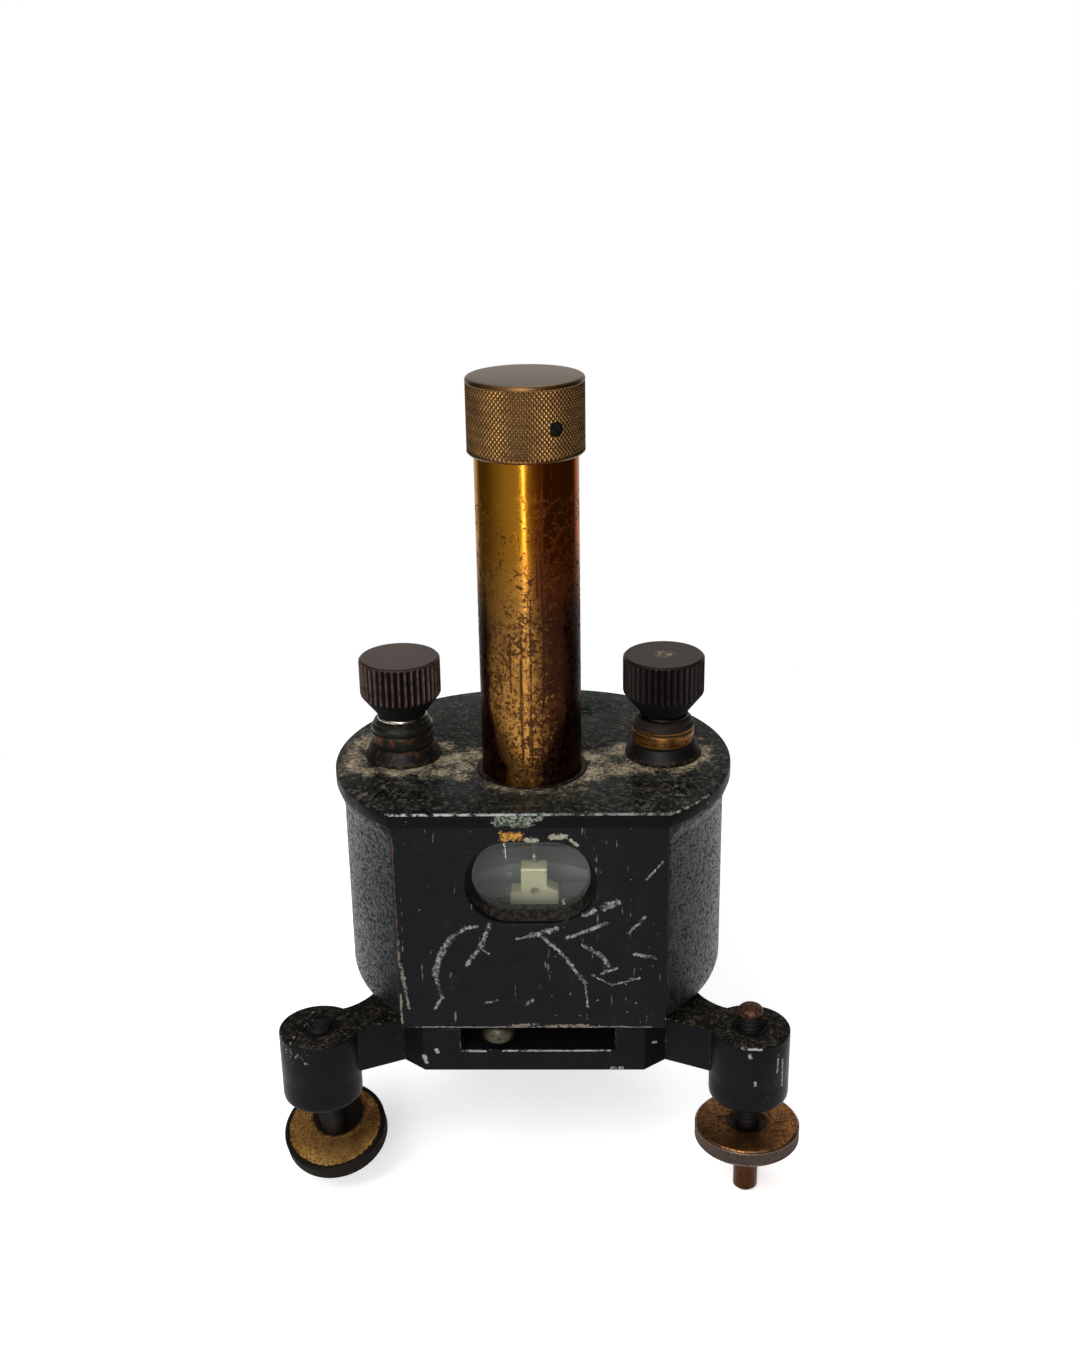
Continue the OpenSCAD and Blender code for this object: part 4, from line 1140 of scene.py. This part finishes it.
def diamond(count, pitch, depth, low, high):
    """Ring form with a diamond knurl between two heights."""
    def form(radii, z, angles):
        u = count * angles / (2 * np.pi)
        v = z / pitch
        one = np.abs(2 * ((u + v) % 1.0) - 1)
        two = np.abs(2 * ((u - v) % 1.0) - 1)
        return radii - fading(z, low, high, 0.15, 0.15) * depth * np.maximum(one, two) ** 1.3
    return form


cap_profile = [(0, 208.8), (12.75, 208.8), (12.75, CAP_LOW), (13.8, CAP_LOW), (CAP_R, CAP_LOW + 0.5)]
cap_profile += rows([(CAP_R, CAP_LOW + 0.6), (CAP_R, 210.65)], 0.16)
cap_profile += [(CAP_R, 210.95), (14.2, 211.32), (13.96, 211.6), (13.6, 211.76), (13.2, CAP_TOP)]
cap_profile += [(0, CAP_TOP)]
side_hole = Matrix.Rotation(math.radians(-58), 4, "Z") @ Matrix.Translation((0, 0, CAP_LOW + 7.9))
side_hole = side_hole @ Matrix.Rotation(math.radians(90), 4, "Y")
piece("cap_body", lathe(cap_profile, 640, diamond(80, 1.35, 0.27, CAP_LOW + 0.7, 210.6)), cap_look(),
      "torsion_head", "cap_bronze", "torsion_cap", cut=[moved(rod(1.8, 11.7, 18.0), side_hole)], sharp=24)
piece("cap_screw", moved(screw_head(1.75, 12.95, 13.7, 0.5, 0.5, 1.5, 12.8, 35.0), side_hole),
      DARK_SCREW, "torsion_head", "steel", "cap_set_screw")

# Terminals
FLUTES = 38
HEAD_R = 10.45
HEAD_TOP = 138.5
CONE_TOP_R = 8.5
FLUTE_DEPTH = 1.25


def fluted(radii, z, angles):
    """Ring form with upright flutes that run out in points on the cone below."""
    if radii[0] < CONE_TOP_R:
        return radii
    depth = FLUTE_DEPTH * min(1.0, max(0.0, (138.0 - z) / 0.25))
    return np.minimum(radii, HEAD_R - depth * (1 - np.abs(np.cos(FLUTES / 2 * angles))) ** 0.75)


HEAD_LOOKS = {
    "left": head_look("head_brown", TERMINALS["left"], 0x2E201C, 0x1A1210, 0x58443C, False),
    "right": head_look("head_dark", TERMINALS["right"], 0x0F0B0A, 0x070606, 0x281C17, True),
}
POST_LOOKS = {"left": post_look("post_dark", False), "right": post_look("post_bright", True)}
RING_LOOKS = {
    "left": metal_look("ring_pale", 0xE0DED2, 0x706856, 0.25, 0.55),
    "right": metal_look("ring_dark", 0x322C26, 0x1A1715, 0.4),
}
RUBBER = insulator_look()
insulator_profile = fillet([(2.4, 107.1, 0), (3.95, 107.1, 0.2), (3.95, 111.05, 0), (9.9, 111.05, 0.15),
                            (9.9, 111.8, 0.25), (9.3, 113.0, 0.3), (8.4, 115.0, 0.5), (2.4, 115.0, 0)],
                           closed=True)
post_profile = fillet([(0, 97.9, 0), (2.35, 97.9, 0.3), (2.35, 115.05, 0), (8.0, 115.05, 0.2),
                       (8.0, 118.25, 0.15), (7.6, 118.65, 0), (8.0, 119.05, 0.15), (8.0, 120.05, 0.2),
                       (7.3, 120.75, 0.1), (7.3, 121.3, 0.1), (6.6, 121.8, 0.1), (2.35, 121.8, 0),
                       (2.35, 130.4, 0.3), (0, 130.4, 0)])
ring_profile = fillet([(2.4, 121.85, 0), (6.5, 121.85, 0.3), (6.5, 122.85, 0.3), (2.4, 122.85, 0)],
                      closed=True)
head_outer = fillet([(6.0, 122.9, 0), (6.4, 123.5, 0.3), (HEAD_R, 128.7, 1.2), (HEAD_R, 137.9, 0.3),
                     (9.85, HEAD_TOP, 0.25), (8.0, HEAD_TOP, 0)])
head_profile = [(0, 135.0), (2.4, 135.0), (2.4, 122.9)] + rows([tuple(p) for p in head_outer], 0.4)
head_profile += [(0, HEAD_TOP)]
for side, place in TERMINALS.items():
    piece("insulator_" + side, lathe(insulator_profile, closed=True, centre=place), RUBBER, "base", "ebonite",
          "terminal_insulator_" + side)
    piece("post_" + side, lathe(post_profile, centre=place), POST_LOOKS[side], "base",
          {"left": "post_dark", "right": "post_bright"}[side], "terminal_post_" + side)
    piece("ring_" + side, lathe(ring_profile, 72, closed=True, centre=place), RING_LOOKS[side],
          "clamp_ring_" + side, "ring_metal", "clamp_ring_" + side)
    piece("head_" + side, lathe(head_profile, FLUTES * 12, fluted, centre=place), HEAD_LOOKS[side],
          "terminal_head_" + side, {"left": "head_brown", "right": "head_dark"}[side],
          "terminal_head_" + side, sharp=50)

# Mirror and its holder
holder_loop = fillet([(-6.3, 72.0, 0.2), (6.3, 72.0, 0.2), (6.3, 76.3, 0.3), (3.4, 77.9, 0.5),
                      (3.4, 83.2, 0.3), (-3.4, 83.2, 0.3), (-3.4, 76.4, 0.2), (-6.3, 76.4, 0.7)], closed=True)
piece("holder_body", slab([holder_loop, circle((0.3, 76.4), 1.0, 0.3)], edges(-1.0, 4.0, 0.12, 0.15, 3)),
      ivory_look(), "moving_coil", "ivory", "mirror_holder", matrix=UPRIGHT)
piece("mirror_glass", slab([box_loop(-7.35, 7.35, 73.6, 82.6, 0.3)], edges(4.05, 5.05, 0.1, 0.25, 2)),
      pane_look("mirror_clear", (0.98, 0.985, 0.98, 1.0), 0.02, 0.06), "moving_coil", "mirror", "mirror",
      matrix=UPRIGHT)

# Clamp lever's knob
KNOB_TURN = -112.0
KNOB_AT = 24.6
knob = lathe(fillet([(0, 44.3, 0), (4.4, 44.3, 1.6), (4.4, 49.3, 2.0), (0, 49.3, 0)], steps=8), 72)
piece("knob_body", put(knob, KNOB_TURN, KNOB_AT), metal_look("knob_pale", 0x545145, 0x322F28, 0.5, 0.54, 0.9),
      "clamp_lever", "lever_metal", "lever_knob",
      cut=[put(block(-6.0, 0.0, -2.55, 2.55, 44.45, 46.75), KNOB_TURN, KNOB_AT)])

# Levelling screws
PITCH = 1.27
THREAD_DEPTH = 0.52
TIP_R = 2.3


def thread(turns, fade):
    """Radius of the thread at each of these turns along the screw."""
    t = np.abs(2 * (turns % 1.0) - 1)
    return STEM_R - fade * THREAD_DEPTH * np.clip(1.2 * t - 0.15, 0, 1)


def threaded(low, high):
    """Ring form with a screw thread between two heights."""
    def form(radii, z, angles):
        return np.minimum(radii, thread(z / PITCH - angles / (2 * np.pi), fading(z, low, high, 1.0, 0.6)))
    return form


def stem_profile(low, high, top_round):
    profile = [(0, low), (TIP_R - 0.3, low), (TIP_R, low + 0.25), (STEM_R, low + 1.1)]
    profile += rows([(STEM_R, low + 1.1), (STEM_R, high - top_round)], 0.13)
    profile += [(STEM_R - top_round * (1 - math.cos(a)), high - top_round * (1 - math.sin(a)))
                for a in np.linspace(0, math.pi / 2, 6)[1:]]
    return profile + [(0, high)]


SHAFT_LOOKS = {"right": stem_look("stem_reddish", 0x583628), "rear": stem_look("stem_brown", 0x583C26),
               "left": stem_look("stem_greenish", 0x34382C, 6.0)}
stub = [(0, 33.55), (STEM_R - 0.5, 33.55)] + rows([(STEM_R, 33.9), (STEM_R, 49.3)], 0.13)
stub += [(2.6, 49.9), (2.2, 49.9), (1.95, 49.4), (1.7, 49.9), (0, 49.9)]
upright = lathe(stem_profile(0.0, 55.3, 1.1), 48, threaded(21.5, 54.2))
stems = {"right": upright, "rear": upright, "left": lathe(stub, 48, threaded(34.1, 49.0))}
for side, stem in stems.items():
    piece("stem_" + side, put(stem, FEET[side], FOOT_R), SHAFT_LOOKS[side], "levelling_stem_" + side,
          "screw_brass", "levelling_stem_" + side, sharp=30)

BEND_Z = 28.7
BEND_ANGLE = 22.0
BEND = math.radians(BEND_ANGLE)
BEND_TURN = 256.0
BEND_ROUND = 5.0
BEND_REACH = 14.2
BENT_LENGTH = (BEND_Z - TIP_R * math.sin(BEND)) / math.cos(BEND)


def bent_shaft():
    """The bent screw's lower part: rings along a line that turns at the bend, leaning in degrees."""
    tangent = BEND_ROUND * math.tan(BEND / 2)
    path = [(Vector((0, 0, 33.5)), 0.0, 0.0), (Vector((0, 0, 33.5)), 0.0, STEM_R - 0.3)]
    path += [(Vector((0, 0, z)), 0.0, STEM_R) for z in np.arange(33.2, BEND_Z + tangent, -0.16)]
    here = Vector((0, 0, BEND_Z + tangent))
    steps = 12
    for k in range(steps + 1):
        path.append((here.copy(), BEND_ANGLE * k / steps, STEM_R))
        middle = math.radians(BEND_ANGLE * (k + 0.5) / steps)
        here -= Vector((math.sin(middle), 0, math.cos(middle))) * (BEND_ROUND * BEND / steps)
    down = -Vector((math.sin(BEND), 0, math.cos(BEND)))
    bend = Vector((0, 0, BEND_Z))
    path += [(bend + down * s, BEND_ANGLE, STEM_R) for s in np.arange(tangent + 0.2, BENT_LENGTH - 0.9, 0.16)]
    path += [(bend + down * (BENT_LENGTH - s), BEND_ANGLE, r)
             for s, r in ((0.875, STEM_R), (0.25, TIP_R + 0.1), (0.0, TIP_R - 0.1), (0.0, 0.0))]
    sides = 48
    angles = np.linspace(0, 2 * np.pi, sides, endpoint=False)
    points = []
    rings = []
    start = 0
    along = 0.0
    last = path[0][0]
    for at, lean, r in path:
        along += (at - last).length
        last = at
        if r == 0:
            points.append(np.array([at]))
        else:
            fade = fading(along, 0.6, 15.5, 0.6, 1.0)
            radii = np.minimum(r, thread(along / PITCH + angles / (2 * np.pi), fade))
            ring = np.column_stack([radii * np.cos(angles), radii * np.sin(angles), np.zeros(sides)])
            points.append(ring @ np.array(Matrix.Rotation(math.radians(lean), 3, "Y")).T + np.array(at))
        rings.append(range(start, start + len(points[-1])))
        start += len(points[-1])
    return np.vstack(points), skin(zip(rings[1:], rings[:-1]))


left_foot = Matrix.Translation((*foot_place("left"), 0))
bend_turn = Matrix.Rotation(math.radians(BEND_TURN), 4, "Z")
piece("foot_left", moved(bent_shaft(), left_foot @ bend_turn), SHAFT_LOOKS["left"], "levelling_foot_left",
      "screw_brass", "levelling_foot_left", sharp=30)

DISC_R = 13.6
DISC_T = 4.8
DISC_TOP = 20.7
disc_profile = [(3.225, -DISC_T), (12.7, -DISC_T), (13.3, -4.55), (DISC_R, -4.15)]
disc_profile += rows([(DISC_R, -4.1), (DISC_R, -0.75)], 0.14)
disc_profile += [(DISC_R, -0.7), (13.35, -0.35), (13.0, -0.08), (12.6, 0.0), (4.6, 0.0), (4.4, -0.12),
                 (3.225, -0.12)]
disc = lathe(disc_profile, 660, diamond(110, 1.15, 0.22, -4.05, -0.8), closed=True)
disc_place = left_foot @ Matrix.Translation((0, 0, BEND_Z)) @ bend_turn @ Matrix.Rotation(BEND, 4, "Y")
disc_place = disc_place @ Matrix.Translation((0, 0, -BEND_REACH))
piece("disc_left", moved(disc, disc_place),
      level_disc_left_look(disc_place.to_3x3() @ Vector((0, 0, 1)), tuple(disc_place.translation)),
      "levelling_foot_left", "screw_brass", "levelling_disc_left", sharp=24)
for side in ("right", "rear"):
    x, y = foot_place(side)
    piece("disc_" + side, moved(disc, Matrix.Translation((x, y, DISC_TOP))),
          level_disc_right_look("disc_copper_" + side, x, y), "levelling_disc_" + side, "screw_brass",
          "levelling_disc_" + side, sharp=24)

# The nodes that stay as they are get better looks
COIL_ALUMINIUM = metal_look("aluminium_plain", 0xC4C6C8, 0x96989C, 0.3)
NODE_LOOKS = (
    (BASE, "base_cover"),
    (DARK_SCREW, "base_cover_screws case_screws glass_frame"),
    (RUBBER, "tube_bush terminal_underwashers"),
    (grey_paint("paint_grey", 0xACAEAA, 0x989A96), "magnet pole_piece_left pole_piece_right"),
    (STEEL, "magnet_screws bracket_screws"),
    (metal_look("iron_turned", 0x969696, 0x686868, 0.34), "iron_core"),
    (INNER_BRASS, "core_bracket torsion_spindle ligament_post clamp_plunger terminal_nuts"),
    (metal_look("strip_drawn", 0xD2AC74, 0xAA7E4E, 0.28), "suspension_strip lower_ligament"),
    (COIL_ALUMINIUM, "strip_ferrule coil_former"),
    (winding_look(), "coil_winding"),
    (metal_look("lever_nickel", 0x968E7A, 0x605848, 0.38, 0.54), "clamp_lever"),
    (winding_look(), "lead_wire_left"),
    (winding_look(), "lead_wire_right"),
)
for look, names in NODE_LOOKS:
    for name in names.split():
        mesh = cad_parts[name].data
        mesh.materials.clear()
        mesh.materials.append(look)

# Floor: pale, white in the picture, and it keeps the object's shadow
FLOOR_R = 350.0
floor_look = bpy.data.materials.new("floor_pale")
g = Graph(floor_look)
paint = g.add("BsdfPrincipled")
g.add("OutputMaterial", paint.outputs[0])
for key, value in (("Base Color", (0.86, 0.86, 0.86, 1.0)), ("Roughness", 0.9), ("Specular IOR Level", 0.0),
                   ("Emission Color", (1.0, 1.0, 1.0, 1.0)),
                   ("Emission Strength", g.both(g.seen("Camera", "Glossy", "Transmission"), 0.5))):
    g.feed(paint.inputs[key], value)
floor_profile = [(0, -1.0), (FLOOR_R - 5, -1.0), (FLOOR_R, -0.5), (FLOOR_R - 5, 0.0), (0, 0.0)]
floor = bare("floor", lathe(floor_profile, 128))
floor.data.transform(Matrix.Translation((0, 0, -0.00002)))
floor.data.materials.append(floor_look)

# World: a plain soft studio by direction, and a white backdrop behind and below the object
world = bpy.data.worlds.new("studio")
bpy.context.scene.world = world
g = Graph(world)
side, back, up = g.split(g.add("TexCoord").outputs["Generated"])
azimuth = g.math("ARCTAN2", side, g.both(back, -1.0))


def turn_ramp(value, low, high, first, last):
    return g.ramp(value, math.radians(low), math.radians(high), first, last)


# The soft front light comes from a little left of the camera and leaves the right side dark
front_share = g.math("MINIMUM", turn_ramp(azimuth, -105, -25, 0.08, 0.42),
                     turn_ramp(azimuth, -15, 45, 0.42, 0.05))
back_share = g.both(turn_ramp(g.size(azimuth), 124, 146, 0.0, 1.0), g.ramp(up, 0.10, 0.32, 1.0, 0.3))
top_share = g.ramp(up, 0.6, 0.85, 0.0, 0.4)
level = g.either(front_share, back_share, top_share, g.seen("Camera", "Transmission"))
g.add("OutputWorld", g.add("Background", (1.0, 1.0, 1.0, 1.0), level).outputs[0])

# Lamps: name, place, target, width, height and power
LAMPS = (
    ("soft_key", (-0.45, -0.75, 0.95), (0.0, 0.0, 0.1), 0.5, 0.5, 5.8),
    ("strip", (-0.062, -0.62, 0.12), (0.0, 0.0, 0.12), 0.016, 0.5, 0.65),
    ("low_front", (-0.05, -0.7, 0.36), (0.0, 0.0, 0.09), 0.3, 0.22, 3.0),
    ("soft_top", (0.15, 0.15, 1.1), (0.0, 0.0, 0.1), 0.5, 0.5, 3.4),
)
for name, at, target, width, height, power in LAMPS:
    light = bpy.data.lights.new(name, "AREA")
    light.shape = "RECTANGLE"
    light.size = width
    light.size_y = height
    light.energy = power
    obj = bpy.data.objects.new(name, light)
    obj.location = at
    obj.rotation_euler = (Vector(target) - Vector(at)).to_track_quat("-Z", "Y").to_euler()
    obj.visible_camera = False
    bpy.context.scene.collection.objects.link(obj)

# Camera at the photograph's place
CAMERA_AT = (0.01372, -0.38825, 0.28597)
YAW, PITCH_DOWN, ROLL = (math.radians(v) for v in (-1.67, 21.12, 0.99))
ahead = Vector((math.sin(YAW) * math.cos(PITCH_DOWN), math.cos(YAW) * math.cos(PITCH_DOWN),
                -math.sin(PITCH_DOWN)))
level_right = Vector((math.cos(YAW), -math.sin(YAW), 0))
down = ahead.cross(level_right)
across = math.cos(ROLL) * level_right + math.sin(ROLL) * down
downward = -math.sin(ROLL) * level_right + math.cos(ROLL) * down
lens = bpy.data.cameras.new("camera")
lens.lens = 44.08
lens.sensor_width = 36.0
lens.sensor_fit = "AUTO"
lens.clip_start = 0.01
camera = bpy.data.objects.new("camera", lens)
turn = Matrix((across, -downward, -ahead)).transposed().to_4x4()
camera.matrix_world = Matrix.Translation(CAMERA_AT) @ turn
bpy.context.scene.collection.objects.link(camera)
bpy.context.scene.camera = camera
bpy.context.scene.view_settings.view_transform = "Standard"

bpy.context.view_layer.update()
